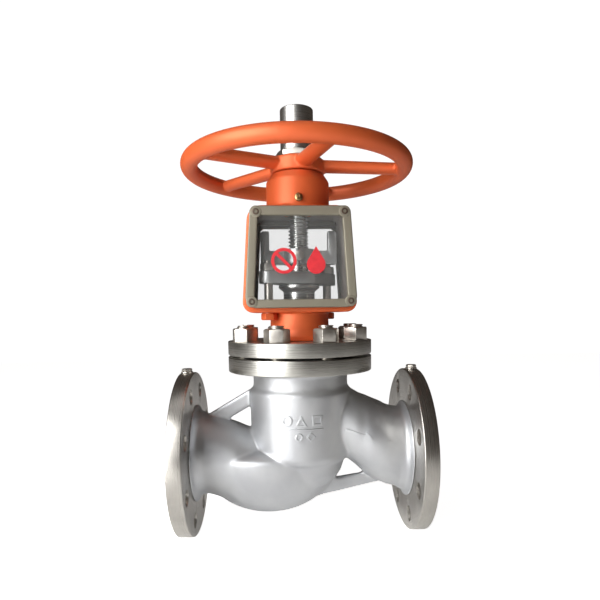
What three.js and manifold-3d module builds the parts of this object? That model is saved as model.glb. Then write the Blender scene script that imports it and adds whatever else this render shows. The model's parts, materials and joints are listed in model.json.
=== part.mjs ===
// A DN 100 globe valve with an outside screw and yoke: cast body, bolted bonnet with an enclosed
// yoke window, rising stem, rotating stem nut and five-spoke handwheel.
// Millimetres. The origin is where the stem's axis crosses the pipe's axis. +X runs along the pipe
// from inlet to outlet, +Z runs up the stem. The valve is shown shut.
import * as THREE from "three";
import { mergeVertices } from "three/addons/utils/BufferGeometryUtils.js";
import Module from "manifold-3d";

const wasm = await Module();
wasm.setup();

// ---- Driving dimensions ----
const GAP = 0.3; // between two pieces that meet
const SLIT = 0.02; // overlap of joined shapes inside one casting

// Pipe ends
const FACE = 175; // half of the face-to-face length
const RAISED_FACE = { radius: 81, height: 3 };
const END_FLANGE = { radius: 117.5, thickness: 20, chamfer: 1.5 };
const END_BOLTS = { count: 8, circle: 95, radius: 11 };
const BORE = 50;
const NECK = 59;

// Body trunk and bonnet joint
const TRUNK = { radius: 73, neck: 68, root: -42, shoulder: 91, chamber: 59, floor: 14 };
const JOINT = { radius: 102.5, bodyLow: 120, bodyTop: 140.5, bonnetLow: 143.5, bonnetTop: 162.5 };
const STUDS = { count: 8, circle: 83, radius: 10, low: 121, top: 184.5, flats: 30, nut: 18 };
const BULB = { x: -45.8, z: -3, long: 103.6, wide: 68, deep: 86.2, rise: 20, wall: 11 };
const SEAT = { bore: 46, radius: 56, low: 8, top: 18 };
const SIDE = 200; // reach of the cutting boxes, clear of everything

// Flow path as stations of [x, z, radius]
const INLET_NECK = [
  [-156, 0, NECK],
  [-135, -1, 57.7],
  [-116, -6.8, 58],
  [-104.5, -11.1, 58.7],
  [-92.5, -16.9, 60],
  [-80, -22.5, 60],
  [-60, -29, 59],
  [-28, -32, 54],
];
const INLET_WAY = [
  [-176, 0, BORE],
  [-150, 0, BORE],
  [-125, -4, BORE],
  [-100, -14, 46],
  [-80, -25, 41],
  [-60, -36, 36],
];
const OUTLET_NECK = [
  [40, 45, 50],
  [60, 43, 52],
  [75, 35.1, 54.5],
  [85, 27.6, 56.1],
  [95, 21.4, 58.5],
  [105, 15.7, 59.6],
  [116, 10.8, 59.9],
  [129, 5.2, 59.1],
  [156, 0, NECK],
];
const OUTLET_WAY = [
  [30, 55, 38],
  [60, 52, 38],
  [80, 34, 40],
  [98, 20.5, 43.5],
  [116, 10, 47.5],
  [135, 3, BORE],
  [158, 0, BORE],
  [185, 0, BORE],
];

// Stiffening ribs and cast marks as outlines of [x, z]
const RIB = 9; // thickness
const INLET_RIB = [
  [-142, 45],
  [-134, 57],
  [-70, 94],
  [-60, 94],
  [-60, 67],
  [-75, 67],
  [-102, 50.5],
  [-108, 40],
];
const OUTLET_RIB = [
  [20, -72],
  [31, -68],
  [54, -63.5],
  [90, -55.5],
  [126, -48],
  [120, -35],
  [88, -37],
  [47, -43],
  [30, -40],
];
const FLOW_ARROW = [[58, 37], [85, 29], [84, 25], [98.5, 27.5], [88, 37.5], [86.5, 33.5], [60, 42]];
const FLOW_ARROW_PROUD = 1.2;
const SIZE_PAD = { half: 32, low: 54, top: 71, corner: 4, proud: 0.6 };

// Stem line
const STEM = { radius: 14, top: 445 };
const DISC = { radius: 54, boss: 30, pocket: 24, floor: 26.5, top: 50, web: 24 };
const BACKSEAT = { radius: 22, low: 136, top: 146 };
const STUFFING_BOX = { radius: 22.7, low: 165 };
const PACKING = { count: 4, height: 8, first: 171 };
const FOLLOWER = { low: 204.8, flare: 236, top: 240.7, radius: 22.2, lip: 29 };
const GLAND = { low: 241, top: 258, reach: 53, lobe: 12.6, middle: 30, turn: 36.5 };
const GLAND_BOLT = { radius: 6, flats: 19, thick: 10, top: 271.5 };
const GUIDE = { low: 269.5, top: 288, hub: 23, hubTop: 290, half: 53.5, deep: 9 };
const PRONG = { wide: 12, tip: 315, chamfer: 3 };
const CLAMP_BOLT = { radius: 4, flats: 13, z: 279, from: 15, seat: 25, head: 6 };

// Yoke
const YOKE = { low: 201.5, top: 343.5, lowWide: 80.2, topWide: 70.4, depth: 88 };
const YOKE_NECK = { radius: 41.2, root: 54 };
const WINDOW = { low: 217, top: 338, lowWide: 65.4, topWide: 57.7, corner: 9 };
const BOSS = { radius: 44, chamferLow: 381, top: 391.5, topRadius: 37, cavity: 31, floor: 350 };
const COVER = { low: 207.7, top: 340.3, lowWide: 75, topWide: 65.9, front: 56, back: 44.3 };
const COVER_OPENING = { low: 219, top: 328, lowWide: 62.2, topWide: 55.3, corner: 4 };
const PANE = { margin: 4, thick: 2.9, back: 44.6, corner: 11 };
const COVER_SCREWS = [
  [-58, 332.5],
  [58, 332.5],
  [65.7, 216.2],
  [-65.7, 216.2],
];
const LOBE = { radius: 6.5, deep: 14 }; // round boss about each cover screw
const COVER_SCREW = { radius: 2.5, head: 4.3, headTop: 3, end: 30 };

// Stem nut, bearings and handwheel
const NUT = { radius: 20, bore: 14.4, collar: 30.5, collarLow: 362.3, collarTop: 372, end: 18, top: 438 };
const WHEEL = { rim: 147.7, tube: 11.4, z: 399.6, hub: 37.8, hubLow: 392.8, hubTop: 413, spokes: 5 };
const SPOKE = { first: -75, wide: 24, tip: 20, thick: 16 };
const KEY = { wide: 6, inner: 17, outer: 23, low: 396, top: 411 };
const BEARING_TOP = 382;
const NIPPLE = { z: 353, radius: 3, shoulder: 4.5, end: 53 };
const LOCK_NUT = { flats: 54, top: 423, turn: 20 };
const CAP = { radius: 23, bore: 18.3, low: 423.3, top: 480, roof: 5, chamfer: 1.5 };
const EARTH_BOLT = { x: 163, radius: 4, low: 105, flats: 13, top: 123.5 };
const EARTH_WASHER = { radius: 8.5, low: 117.8, top: 119 };

const ORANGE = { color: "#d2562a", roughness: 0.4, metalness: 0 };
const CAST_STEEL = { color: "#b4b2ad", roughness: 0.6, metalness: 0.8 };
const STEEL = { color: "#b9bbbd", roughness: 0.3, metalness: 1 };
const COVER_GREY = { color: "#7d7969", roughness: 0.5, metalness: 0 };
const BRASS = { color: "#b59a5a", roughness: 0.35, metalness: 1 };
const GRAPHITE = { color: "#2b2b2c", roughness: 0.8, metalness: 0.1 };
const CLEAR = { color: "#e8eef0", roughness: 0.08, metalness: 0 };

// ---- Shapes and booleans ----
function toSolid(geometry) {
  const bare = geometry.clone();
  bare.deleteAttribute("normal");
  bare.deleteAttribute("uv");
  const merged = mergeVertices(bare, 1e-4);
  const triVerts = new Uint32Array(merged.index.array);
  return new wasm.Manifold(
    new wasm.Mesh({ numProp: 3, vertProperties: merged.attributes.position.array, triVerts }),
  );
}

function toGeometry(solid) {
  const { vertProperties, triVerts } = solid.getMesh();
  const geometry = new THREE.BufferGeometry();
  geometry.setAttribute("position", new THREE.BufferAttribute(new Float32Array(vertProperties), 3));
  geometry.setIndex(new THREE.BufferAttribute(new Uint32Array(triVerts), 1));
  geometry.computeVertexNormals();
  return geometry;
}

const join = (...solids) => solids.reduce((sum, next) => sum.add(next));
const cut = (base, ...tools) => tools.reduce((rest, tool) => rest.subtract(tool), base);

// A profile of [radius, height] corners turned about Z. A ring's profile closes on itself.
function turned(profile, segments = 32) {
  const area = profile.reduce((sum, [r, z], i) => {
    const [nextR, nextZ] = profile[(i + 1) % profile.length];
    return sum + r * nextZ - nextR * z;
  }, 0);
  const corners = area > 0 ? [...profile] : [...profile].reverse();
  const start = corners.findIndex(([r, z], i) => {
    const [lastR] = corners[(i + corners.length - 1) % corners.length];
    return r === 0 && lastR === 0;
  });
  const closed = [...corners, corners[0]];
  const fromAxis = [...corners.slice(start), ...corners.slice(0, start)];
  const points = (start < 0 ? closed : fromAxis).map(([r, z]) => new THREE.Vector2(r, z));
  return toSolid(new THREE.LatheGeometry(points, segments).rotateX(Math.PI / 2));
}

const rod = (radius, low, top, segments) =>
  turned([[0, low], [radius, low], [radius, top], [0, top]], segments);

const ring = (inner, outer, low, top, segments) =>
  turned([[inner, low], [outer, low], [outer, top], [inner, top]], segments);

const box = (x0, x1, y0, y1, z0, z1) =>
  toSolid(
    new THREE.BoxGeometry(x1 - x0, y1 - y0, z1 - z0)
      .translate((x0 + x1) / 2, (y0 + y1) / 2, (z0 + z1) / 2),
  );

// A hexagonal prism with two flats square to X, then turned about Z by some degrees.
function hexagon(flats, low, top, turn = 0) {
  const prism = new THREE.CylinderGeometry(flats / Math.sqrt(3), flats / Math.sqrt(3), top - low, 6);
  return toSolid(
    prism.rotateX(Math.PI / 2).rotateZ((turn * Math.PI) / 180).translate(0, 0, (low + top) / 2),
  );
}

const alongX = (solid) => solid.rotate([0, 90, 0]);
const alongMinusY = (solid) => solid.rotate([90, 0, 0]);

// A closed outline in the XZ plane with rounded corners, given as [x, z, corner radius].
function roundedOutline(corners) {
  const shape = new THREE.Shape();
  const points = corners.map(([x, z]) => new THREE.Vector2(x, z));
  corners.forEach(([, , radius], i) => {
    const here = points[i];
    const before = points[(i + points.length - 1) % points.length].clone().sub(here).setLength(radius);
    const after = points[(i + 1) % points.length].clone().sub(here).setLength(radius);
    const enter = here.clone().add(before);
    const leave = here.clone().add(after);
    if (i) shape.lineTo(enter.x, enter.y);
    else shape.moveTo(enter.x, enter.y);
    shape.quadraticCurveTo(here.x, here.y, leave.x, leave.y);
  });
  shape.closePath();
  return shape;
}

// An outline in the XZ plane given thickness from y = front to y = back.
function plate(shape, front, back, curveSegments = 4) {
  const options = { depth: back - front, bevelEnabled: false, curveSegments };
  return toSolid(new THREE.ExtrudeGeometry(shape, options).rotateX(Math.PI / 2).translate(0, back, 0));
}

// A symmetrical trapezium, wider at the foot, as a rounded outline.
const trapezium = ({ low, top, lowWide, topWide }, lowCorner, topCorner) =>
  roundedOutline([
    [-lowWide, low, lowCorner],
    [lowWide, low, lowCorner],
    [topWide, top, topCorner],
    [-topWide, top, topCorner],
  ]);

// A round passage in the XZ plane through stations of [x, z, radius].
function bentPipe(stations, upright = false, radial = 20, steps = 8) {
  const centre = new THREE.CatmullRomCurve3(stations.map(([x, z]) => new THREE.Vector3(x, 0, z)));
  const radii = new THREE.CatmullRomCurve3(stations.map(([, , r]) => new THREE.Vector3(r, 0, 0)));
  const geometry = new THREE.CylinderGeometry(1, 1, 1, radial, steps);
  const position = geometry.attributes.position;
  const side = new THREE.Vector3(0, 1, 0);
  for (let i = 0; i < position.count; i += 1) {
    const t = THREE.MathUtils.clamp(position.getY(i) + 0.5, 0, 1);
    const along = upright ? new THREE.Vector3(1, 0, 0) : centre.getTangent(t);
    const up = new THREE.Vector3().crossVectors(side, along).normalize();
    const radius = radii.getPoint(t).x;
    const point = centre.getPoint(t);
    point.addScaledVector(side, position.getX(i) * radius);
    point.addScaledVector(up, position.getZ(i) * radius);
    position.setXYZ(i, point.x, point.y, point.z);
  }
  return toSolid(geometry);
}

const aroundCircle = (count, radius, first = 0) =>
  Array.from({ length: count }, (_, i) => {
    const angle = ((first + (360 * i) / count) * Math.PI) / 180;
    return [radius * Math.cos(angle), radius * Math.sin(angle)];
  });

const studPlaces = aroundCircle(STUDS.count, STUDS.circle, 180 / STUDS.count);
const glandPlaces = aroundCircle(2, GLAND.reach, 180 + GLAND.turn);

// ---- Pieces ----
const group = new THREE.Group();

function add(name, solid, finish) {
  const mesh = new THREE.Mesh(toGeometry(solid), new THREE.MeshStandardMaterial(finish));
  mesh.name = name;
  group.add(mesh);
  return mesh;
}

// One pipe flange with its raised face and bolt holes, along +X from the origin side.
function endFlange() {
  const { radius, thickness, chamfer } = END_FLANGE;
  const back = FACE - RAISED_FACE.height - thickness;
  const front = back + thickness;
  const disc = turned([
    [0, back],
    [radius - chamfer, back],
    [radius, back + chamfer],
    [radius, front - chamfer],
    [radius - chamfer, front],
    [RAISED_FACE.radius, front],
    [RAISED_FACE.radius, FACE],
    [0, FACE],
  ], 32);
  const holes = aroundCircle(END_BOLTS.count, END_BOLTS.circle, 180 / END_BOLTS.count).map(([x, y]) =>
    rod(END_BOLTS.radius, back - 1, FACE, 12).translate([x, y, 0]),
  );
  const earthing = rod(EARTH_BOLT.radius + GAP, EARTH_BOLT.low - 1, radius + 1, 12);
  return cut(alongX(cut(disc, ...holes)), earthing.translate([EARTH_BOLT.x, 0, 0]));
}

function valveBody() {
  const trunk = turned([
    [0, TRUNK.root],
    [TRUNK.radius - 25, TRUNK.root],
    [TRUNK.radius - 15, TRUNK.root + 15],
    [TRUNK.radius - 9, TRUNK.root + 33],
    [TRUNK.radius - 3, TRUNK.root + 38],
    [TRUNK.radius, TRUNK.root + 44],
    [TRUNK.radius, TRUNK.shoulder],
    [TRUNK.neck, TRUNK.shoulder + 6],
    [TRUNK.neck, JOINT.bodyLow - 4],
    [TRUNK.neck + 4, JOINT.bodyLow],
    [JOINT.radius - 1, JOINT.bodyLow],
    [JOINT.radius, JOINT.bodyLow + 1],
    [JOINT.radius, JOINT.bodyTop - 1],
    [JOINT.radius - 1, JOINT.bodyTop],
    [0, JOINT.bodyTop],
  ]);
  const outside = join(
    endFlange(),
    endFlange().rotate([0, 0, 180]),
    bentPipe(INLET_NECK, true),
    bentPipe(OUTLET_NECK, true),
    trunk,
    bulb(0),
    plate(outlineOf(INLET_RIB), -RIB / 2, RIB / 2),
    plate(outlineOf(OUTLET_RIB), -RIB / 2, RIB / 2),
    ...castMarks(),
  );
  return cut(outside, ...passages(), ...tappedHoles());
}

const outlineOf = (corners) => new THREE.Shape(corners.map(([x, z]) => new THREE.Vector2(x, z)));

// The bulb under the seat, deep below its widest level and flat above it, drawn in by a wall's thickness.
function bulb(wall) {
  const ball = new THREE.SphereGeometry(1, 24, 14).scale(BULB.long - wall, BULB.wide - wall, 1);
  const position = ball.attributes.position;
  for (let i = 0; i < position.count; i += 1) {
    const level = position.getZ(i);
    position.setZ(i, level * (level > 0 ? BULB.rise - wall : BULB.deep - wall));
  }
  return toSolid(ball).translate([BULB.x, 0, BULB.z]);
}

// Raised size pad and flow arrow on the front of the casting.
function castMarks() {
  const { half, low, top, corner, proud } = SIZE_PAD;
  const pad = roundedOutline([
    [-half, low, corner],
    [half, low, corner],
    [half, top, corner],
    [-half, top, corner],
  ]);
  const arrowSkin = bentPipe(OUTLET_NECK.map(([x, z, radius]) => [x, z, radius + FLOW_ARROW_PROUD]), true);
  return [
    plate(pad, -SIDE, -BORE).intersect(rod(TRUNK.radius + proud, low, top, 64)),
    plate(outlineOf(FLOW_ARROW), -SIDE, -BORE + 10).intersect(arrowSkin),
  ];
}

// The flow path: inlet, bowl under the seat, throat, chamber over the seat and outlet.
function passages() {
  const underSeat = box(-SIDE, SIDE, -SIDE, SIDE, -SIDE, 3);
  return [
    bentPipe(INLET_WAY),
    bentPipe(OUTLET_WAY),
    bulb(BULB.wall).intersect(underSeat),
    rod(SEAT.bore, 2, SEAT.low + 1),
    rod(SEAT.radius + GAP, SEAT.low, TRUNK.floor + 1),
    rod(TRUNK.chamber, TRUNK.floor, JOINT.bodyTop + 1),
  ];
}

// A hole at each place, straight down through z = low to top.
const holesAt = (places, radius, low, top, segments) =>
  places.map(([x, y]) => rod(radius, low, top, segments).translate([x, y, 0]));

// A rod square to each cover screw's face, from y = -front to y = -back.
const atCoverScrews = (radius, back, front, segments) =>
  COVER_SCREWS.map(([x, z]) => alongMinusY(rod(radius, back, front, segments)).translate([x, 0, z]));

const tappedHoles = () =>
  holesAt(studPlaces, STUDS.radius + GAP, JOINT.bodyLow - 1, JOINT.bodyTop + 1, 12);

function bonnetYoke() {
  const neck = turned([
    [0, BACKSEAT.low],
    [TRUNK.chamber - 0.4, BACKSEAT.low],
    [TRUNK.chamber - 0.4, JOINT.bonnetLow],
    [JOINT.radius - 1, JOINT.bonnetLow],
    [JOINT.radius, JOINT.bonnetLow + 1],
    [JOINT.radius, JOINT.bonnetTop - 1],
    [JOINT.radius - 1, JOINT.bonnetTop],
    [YOKE_NECK.root, JOINT.bonnetTop],
    [YOKE_NECK.radius + 5, JOINT.bonnetTop + 5],
    [YOKE_NECK.radius + 1, JOINT.bonnetTop + 14],
    [YOKE_NECK.radius, YOKE.low + SLIT],
    [0, YOKE.low + SLIT],
  ]);
  const half = YOKE.depth / 2;
  const frame = cut(
    plate(trapezium(YOKE, 14, 8), -half, half),
    plate(trapezium(WINDOW, WINDOW.corner, WINDOW.corner), -half - 1, half + 1),
  );
  const lobes = [
    ...atCoverScrews(LOBE.radius, half - LOBE.deep, half, 12),
    ...atCoverScrews(LOBE.radius, -half, LOBE.deep - half, 12),
  ];
  const boss = turned([
    [0, WINDOW.top + 0.5],
    [BOSS.radius, WINDOW.top + 0.5],
    [BOSS.radius, BOSS.chamferLow],
    [BOSS.topRadius, BOSS.top],
    [0, BOSS.top],
  ]);
  return cut(
    join(neck, frame, ...lobes, boss),
    rod(BACKSEAT.radius + GAP, BACKSEAT.low - 1, BACKSEAT.top + GAP, 20),
    rod(STEM.radius + 0.7, BACKSEAT.top, STUFFING_BOX.low + 1, 20),
    rod(STUFFING_BOX.radius, STUFFING_BOX.low, WINDOW.low + 1, 20),
    rod(NUT.radius + GAP, WINDOW.top - 1, BOSS.floor + 1, 20),
    rod(BOSS.cavity, BOSS.floor, BOSS.top + 1, 20),
    alongMinusY(rod(NIPPLE.radius + GAP, 25, BOSS.radius + 1, 12)).translate([0, 0, NIPPLE.z]),
    ...atCoverScrews(COVER_SCREW.radius + GAP, -half - 1, half + 1, 8),
    ...holesAt(studPlaces, STUDS.radius + 1, JOINT.bonnetLow - 1, JOINT.bonnetTop + 1, 12),
    ...holesAt(glandPlaces, GLAND_BOLT.radius + GAP, YOKE.low - 1, WINDOW.low + 1, 16),
  );
}

const disc = () =>
  turned([
    [0, SEAT.top + GAP],
    [SEAT.bore + 1, SEAT.top + GAP],
    [DISC.radius, SEAT.top + GAP],
    [DISC.radius, DISC.web + 6],
    [DISC.boss, DISC.web + 12],
    [DISC.boss, DISC.top],
    [DISC.pocket, DISC.top],
    [DISC.pocket, DISC.floor],
    [0, DISC.floor],
  ], 32);

const stem = () =>
  turned([
    [0, DISC.floor + GAP],
    [18, DISC.floor + GAP],
    [18, 34],
    [STEM.radius, 34.5],
    [STEM.radius, 104],
    [18, 107],
    [18, 111],
    [STEM.radius, 114],
    [STEM.radius, STEM.top - 2],
    [STEM.radius - 2, STEM.top],
    [0, STEM.top],
  ], 20);

// A flat bar across the yoke, clamped to the stem, with a prong at each end.
function guideBracket() {
  const { low, top, hub, hubTop, half, deep } = GUIDE;
  const { wide, tip, chamfer } = PRONG;
  const bar = outlineOf([
    [-half, low],
    [half, low],
    [half, tip - chamfer],
    [half - chamfer, tip],
    [half - wide, tip],
    [half - wide, top],
    [wide - half, top],
    [wide - half, tip],
    [chamfer - half, tip],
    [-half, tip - chamfer],
  ]);
  return cut(
    join(plate(bar, -deep, deep), rod(hub, low, hubTop, 20)),
    rod(STEM.radius + GAP, low - 1, hubTop + 1, 20),
    alongMinusY(rod(CLAMP_BOLT.radius + GAP, 0, hub + 1, 12)).translate([0, 0, CLAMP_BOLT.z]),
  );
}

function clampBolt() {
  const { radius, flats, z, from, seat, head } = CLAMP_BOLT;
  const bolt = join(rod(radius, from, seat, 12), hexagon(flats, seat, seat + head));
  return alongMinusY(bolt).translate([0, 0, z]);
}

function handwheel() {
  const rim = toSolid(new THREE.TorusGeometry(WHEEL.rim, WHEEL.tube, 8, 40)).translate([0, 0, WHEEL.z]);
  const hub = turned([
    [0, WHEEL.hubLow],
    [WHEEL.hub - 2, WHEEL.hubLow],
    [WHEEL.hub, WHEEL.hubLow + 2],
    [WHEEL.hub, WHEEL.hubTop - 3],
    [WHEEL.hub - 3, WHEEL.hubTop],
    [0, WHEEL.hubTop],
  ], 32);
  const spokes = aroundCircle(WHEEL.spokes, 1, SPOKE.first).map(([x, y]) =>
    spoke().rotate([0, 0, (Math.atan2(y, x) * 180) / Math.PI]),
  );
  return cut(
    join(rim, hub, ...spokes),
    rod(NUT.radius + GAP, WHEEL.hubLow - 1, WHEEL.hubTop + 1, 20),
    keyBlock(GAP),
  );
}

// A tapering oval arm from the hub to the middle of the rim, along +X.
function spoke() {
  const start = 30;
  const length = WHEEL.rim - start;
  const arm = new THREE.CylinderGeometry(0.5, 0.5, length, 8, 1);
  const position = arm.attributes.position;
  for (let i = 0; i < position.count; i += 1) {
    const along = position.getY(i) / length + 0.5;
    const wide = THREE.MathUtils.lerp(SPOKE.wide, SPOKE.tip, along);
    const drop = THREE.MathUtils.lerp(WHEEL.z + 5, WHEEL.z, along);
    const x = start + along * length;
    position.setXYZ(i, x, position.getX(i) * wide, drop - position.getZ(i) * SPOKE.thick);
  }
  return toSolid(arm);
}

// The keyway: the key with some room round it, open at the top.
function keyBlock(gap) {
  const half = KEY.wide / 2 + gap;
  return box(KEY.inner - gap, KEY.outer + gap, -half, half, KEY.low - gap, WHEEL.hubTop + 1);
}

const stemNut = () =>
  cut(
    turned([
      [NUT.bore, WINDOW.top + 1],
      [NUT.radius, WINDOW.top + 1],
      [NUT.radius, NUT.collarLow],
      [NUT.collar, NUT.collarLow],
      [NUT.collar, NUT.collarTop],
      [NUT.radius, NUT.collarTop],
      [NUT.radius, WHEEL.hubTop - 1],
      [NUT.end, WHEEL.hubTop],
      [NUT.end, NUT.top],
      [NUT.bore, NUT.top],
    ], 20),
    keyBlock(GAP),
  );

const cap = () =>
  turned([
    [CAP.bore, CAP.low],
    [CAP.radius, CAP.low],
    [CAP.radius, CAP.top - CAP.chamfer],
    [CAP.radius - CAP.chamfer, CAP.top],
    [0, CAP.top],
    [0, CAP.top - CAP.roof],
    [CAP.bore, CAP.top - CAP.roof],
  ], 24);

// Oval flange with two bolt lobes, turned to stand across the yoke's legs.
function glandFlange() {
  const tangent = Math.acos((GLAND.middle - GLAND.lobe) / GLAND.reach);
  const shape = new THREE.Shape();
  shape.absarc(GLAND.reach, 0, GLAND.lobe, -tangent, tangent);
  shape.absarc(0, 0, GLAND.middle, tangent, Math.PI - tangent);
  shape.absarc(-GLAND.reach, 0, GLAND.lobe, Math.PI - tangent, Math.PI + tangent);
  shape.absarc(0, 0, GLAND.middle, Math.PI + tangent, 2 * Math.PI - tangent);
  const options = { depth: GLAND.top - GLAND.low, bevelEnabled: false, curveSegments: 8 };
  const oval = toSolid(new THREE.ExtrudeGeometry(shape, options)).translate([0, 0, GLAND.low]);
  return cut(
    oval.rotate([0, 0, GLAND.turn]),
    rod(STEM.radius + 1, GLAND.low - 1, GLAND.top + 1, 20),
    ...holesAt(glandPlaces, GLAND_BOLT.radius + GAP, GLAND.low - 1, GLAND.top + 1, 16),
  );
}

// Grey frame that holds the clear pane over the yoke's window; side is -1 in front, 1 behind.
function coverFrame(side) {
  const rebate = grown(COVER_OPENING, PANE.margin + GAP);
  const [outerFace, innerFace] = [-COVER.front, -COVER.back];
  const shelf = -(PANE.back + PANE.thick + GAP);
  const rim = cut(
    plate(trapezium(COVER, 13, 7), outerFace, innerFace),
    plate(trapezium(COVER_OPENING, COVER_OPENING.corner, COVER_OPENING.corner), outerFace - 1, innerFace + 1),
  );
  const frame = cut(
    join(rim, ...atCoverScrews(LOBE.radius, COVER.back, COVER.front, 12)),
    plate(trapezium(rebate, PANE.corner, PANE.corner), shelf, innerFace + 1),
    ...atCoverScrews(COVER_SCREW.radius + GAP, COVER.back - 1, COVER.front + 1, 8),
  );
  return side < 0 ? frame : frame.rotate([0, 0, 180]);
}

const grown = ({ low, top, lowWide, topWide }, margin) => ({
  low: low - margin,
  top: top + margin,
  lowWide: lowWide + margin,
  topWide: topWide + margin,
});

function pane(side) {
  const shape = trapezium(grown(COVER_OPENING, PANE.margin), PANE.corner, PANE.corner);
  const clear = plate(shape, -PANE.back - PANE.thick, -PANE.back);
  return side < 0 ? clear : clear.rotate([0, 0, 180]);
}

function coverScrew(x, z, side) {
  const { radius, head, headTop, end } = COVER_SCREW;
  const shank = rod(radius, end, COVER.front + 1, 8);
  const screw = join(shank, rod(head, COVER.front + GAP, COVER.front + headTop, 10));
  const placed = alongMinusY(screw).translate([x, 0, z]);
  return side < 0 ? placed : placed.rotate([0, 0, 180]);
}

function earthBolt(side) {
  return join(
    rod(EARTH_BOLT.radius, EARTH_BOLT.low, EARTH_WASHER.low + SLIT, 12),
    rod(EARTH_WASHER.radius, EARTH_WASHER.low, EARTH_WASHER.top, 20),
    hexagon(EARTH_BOLT.flats, EARTH_WASHER.top - SLIT, EARTH_BOLT.top),
  ).translate([side * EARTH_BOLT.x, 0, 0]);
}

const bonnetNut = (place) => {
  const low = JOINT.bonnetTop + GAP;
  return cut(
    hexagon(STUDS.flats, low, low + STUDS.nut, 22.5 + 13 * place),
    rod(STUDS.radius + GAP, low - 1, low + STUDS.nut + 1, 12),
  ).translate([...studPlaces[place], 0]);
};

const glandBolt = (place) =>
  join(
    rod(GLAND_BOLT.radius, YOKE.low - 1, GLAND_BOLT.top, 16),
    hexagon(GLAND_BOLT.flats, YOKE.low - GLAND_BOLT.thick, YOKE.low - GAP, GLAND.turn),
  ).translate([...glandPlaces[place], 0]);

function glandNut(place) {
  const low = GLAND.top + GAP;
  return cut(
    hexagon(GLAND_BOLT.flats, low, low + GLAND_BOLT.thick, GLAND.turn),
    rod(GLAND_BOLT.radius + GAP, low - 1, low + GLAND_BOLT.thick + 1, 16),
  ).translate([...glandPlaces[place], 0]);
}

function greaseNipple() {
  const { z, radius, shoulder, end } = NIPPLE;
  const profile = [
    [0, BOSS.radius - 6],
    [radius, BOSS.radius - 6],
    [radius, BOSS.radius + GAP],
    [shoulder, BOSS.radius + GAP],
    [shoulder, end - 5],
    [radius - 0.4, end - 3.5],
    [radius + 0.2, end - 2],
    [radius - 1, end],
    [0, end],
  ];
  return alongMinusY(turned(profile, 16)).translate([0, 0, z]);
}

const bearing = (low, top) => ring(NUT.radius + 0.4, BOSS.cavity - 0.4, low, top, 20);

// ---- Assembly ----
add("valve_body", valveBody(), CAST_STEEL);
add("seat_ring", ring(SEAT.bore, SEAT.radius, SEAT.low + GAP, SEAT.top, 24), STEEL);
add("disc", disc(), STEEL);
add("disc_nut", ring(STEM.radius + 0.5, DISC.pocket - GAP, 34.8, DISC.top, 20), STEEL);
add("stem", stem(), STEEL);
add("guide_bracket", guideBracket(), STEEL);
add("guide_clamp_bolt", clampBolt(), STEEL);
add("body_gasket", ring(TRUNK.chamber + 1, 72, JOINT.bodyTop + GAP, JOINT.bonnetLow - GAP), GRAPHITE);
add("bonnet_yoke", bonnetYoke(), ORANGE);
add("backseat_bush", ring(STEM.radius + 0.4, BACKSEAT.radius, BACKSEAT.low + GAP, BACKSEAT.top, 20), STEEL);
studPlaces.forEach(([x, y], i) => {
  add(`bonnet_stud_${i + 1}`, rod(STUDS.radius, STUDS.low, STUDS.top, 12).translate([x, y, 0]), STEEL);
  add(`bonnet_nut_${i + 1}`, bonnetNut(i), STEEL);
});
const inStuffingBox = (low, top) => ring(STEM.radius + 0.4, STUFFING_BOX.radius - GAP, low, top, 20);
add("packing_base_ring", inStuffingBox(STUFFING_BOX.low + GAP, PACKING.first - GAP), STEEL);
for (let i = 0; i < PACKING.count; i += 1) {
  const low = PACKING.first + i * (PACKING.height + GAP);
  add(`packing_ring_${i + 1}`, inStuffingBox(low, low + PACKING.height), GRAPHITE);
}
const follower = turned([
  [STEM.radius + 0.4, FOLLOWER.low],
  [FOLLOWER.radius, FOLLOWER.low],
  [FOLLOWER.radius, FOLLOWER.flare - 4],
  [FOLLOWER.lip, FOLLOWER.flare],
  [FOLLOWER.lip, FOLLOWER.top],
  [STEM.radius + 0.4, FOLLOWER.top],
], 20);
add("gland_follower", follower, STEEL);
add("gland_flange", glandFlange(), STEEL);
["front", "rear"].forEach((name, i) => {
  add(`gland_bolt_${name}`, glandBolt(i), STEEL);
  add(`gland_nut_${name}`, glandNut(i), STEEL);
});
add("stem_nut", stemNut(), BRASS);
add("thrust_bearing_lower", bearing(BOSS.floor + GAP, NUT.collarLow - GAP), STEEL);
add("thrust_bearing_upper", bearing(NUT.collarTop + GAP, BEARING_TOP), STEEL);
add("bearing_retainer", bearing(BEARING_TOP + GAP, BOSS.top - 0.2), STEEL);
add("handwheel", handwheel(), ORANGE);
add("handwheel_key", box(KEY.inner, KEY.outer, -KEY.wide / 2, KEY.wide / 2, KEY.low, KEY.top), STEEL);
const lockNut = cut(
  hexagon(LOCK_NUT.flats, WHEEL.hubTop + GAP, LOCK_NUT.top, LOCK_NUT.turn),
  rod(CAP.bore, WHEEL.hubTop, LOCK_NUT.top + 1, 20),
);
add("handwheel_nut", lockNut, STEEL);
add("stem_cap", cap(), STEEL);
add("grease_nipple", greaseNipple(), BRASS);
[["front", -1], ["rear", 1]].forEach(([name, side]) => {
  add(`${name}_cover_frame`, coverFrame(side), COVER_GREY);
  add(`${name}_window`, pane(side), CLEAR);
  COVER_SCREWS.forEach(([x, z], i) => add(`${name}_cover_screw_${i + 1}`, coverScrew(x, z, side), STEEL));
});
add("earthing_bolt_inlet", earthBolt(-1), STEEL);
add("earthing_bolt_outlet", earthBolt(1), STEEL);

export default group;
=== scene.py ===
"""A flanged globe valve with a bolted bonnet, an enclosed yoke window and a five-spoke handwheel.

Shapes are given in millimetres, in the frame of the CAD model: the origin is where the stem's
axis crosses the pipe's axis, +X runs from inlet to outlet, +Z runs up the stem and -Y faces the
front cover. Meshes are scaled to metres when they are made.
"""

from __future__ import annotations

import json
import logging
import math
from dataclasses import dataclass, field
from enum import Enum

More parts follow.
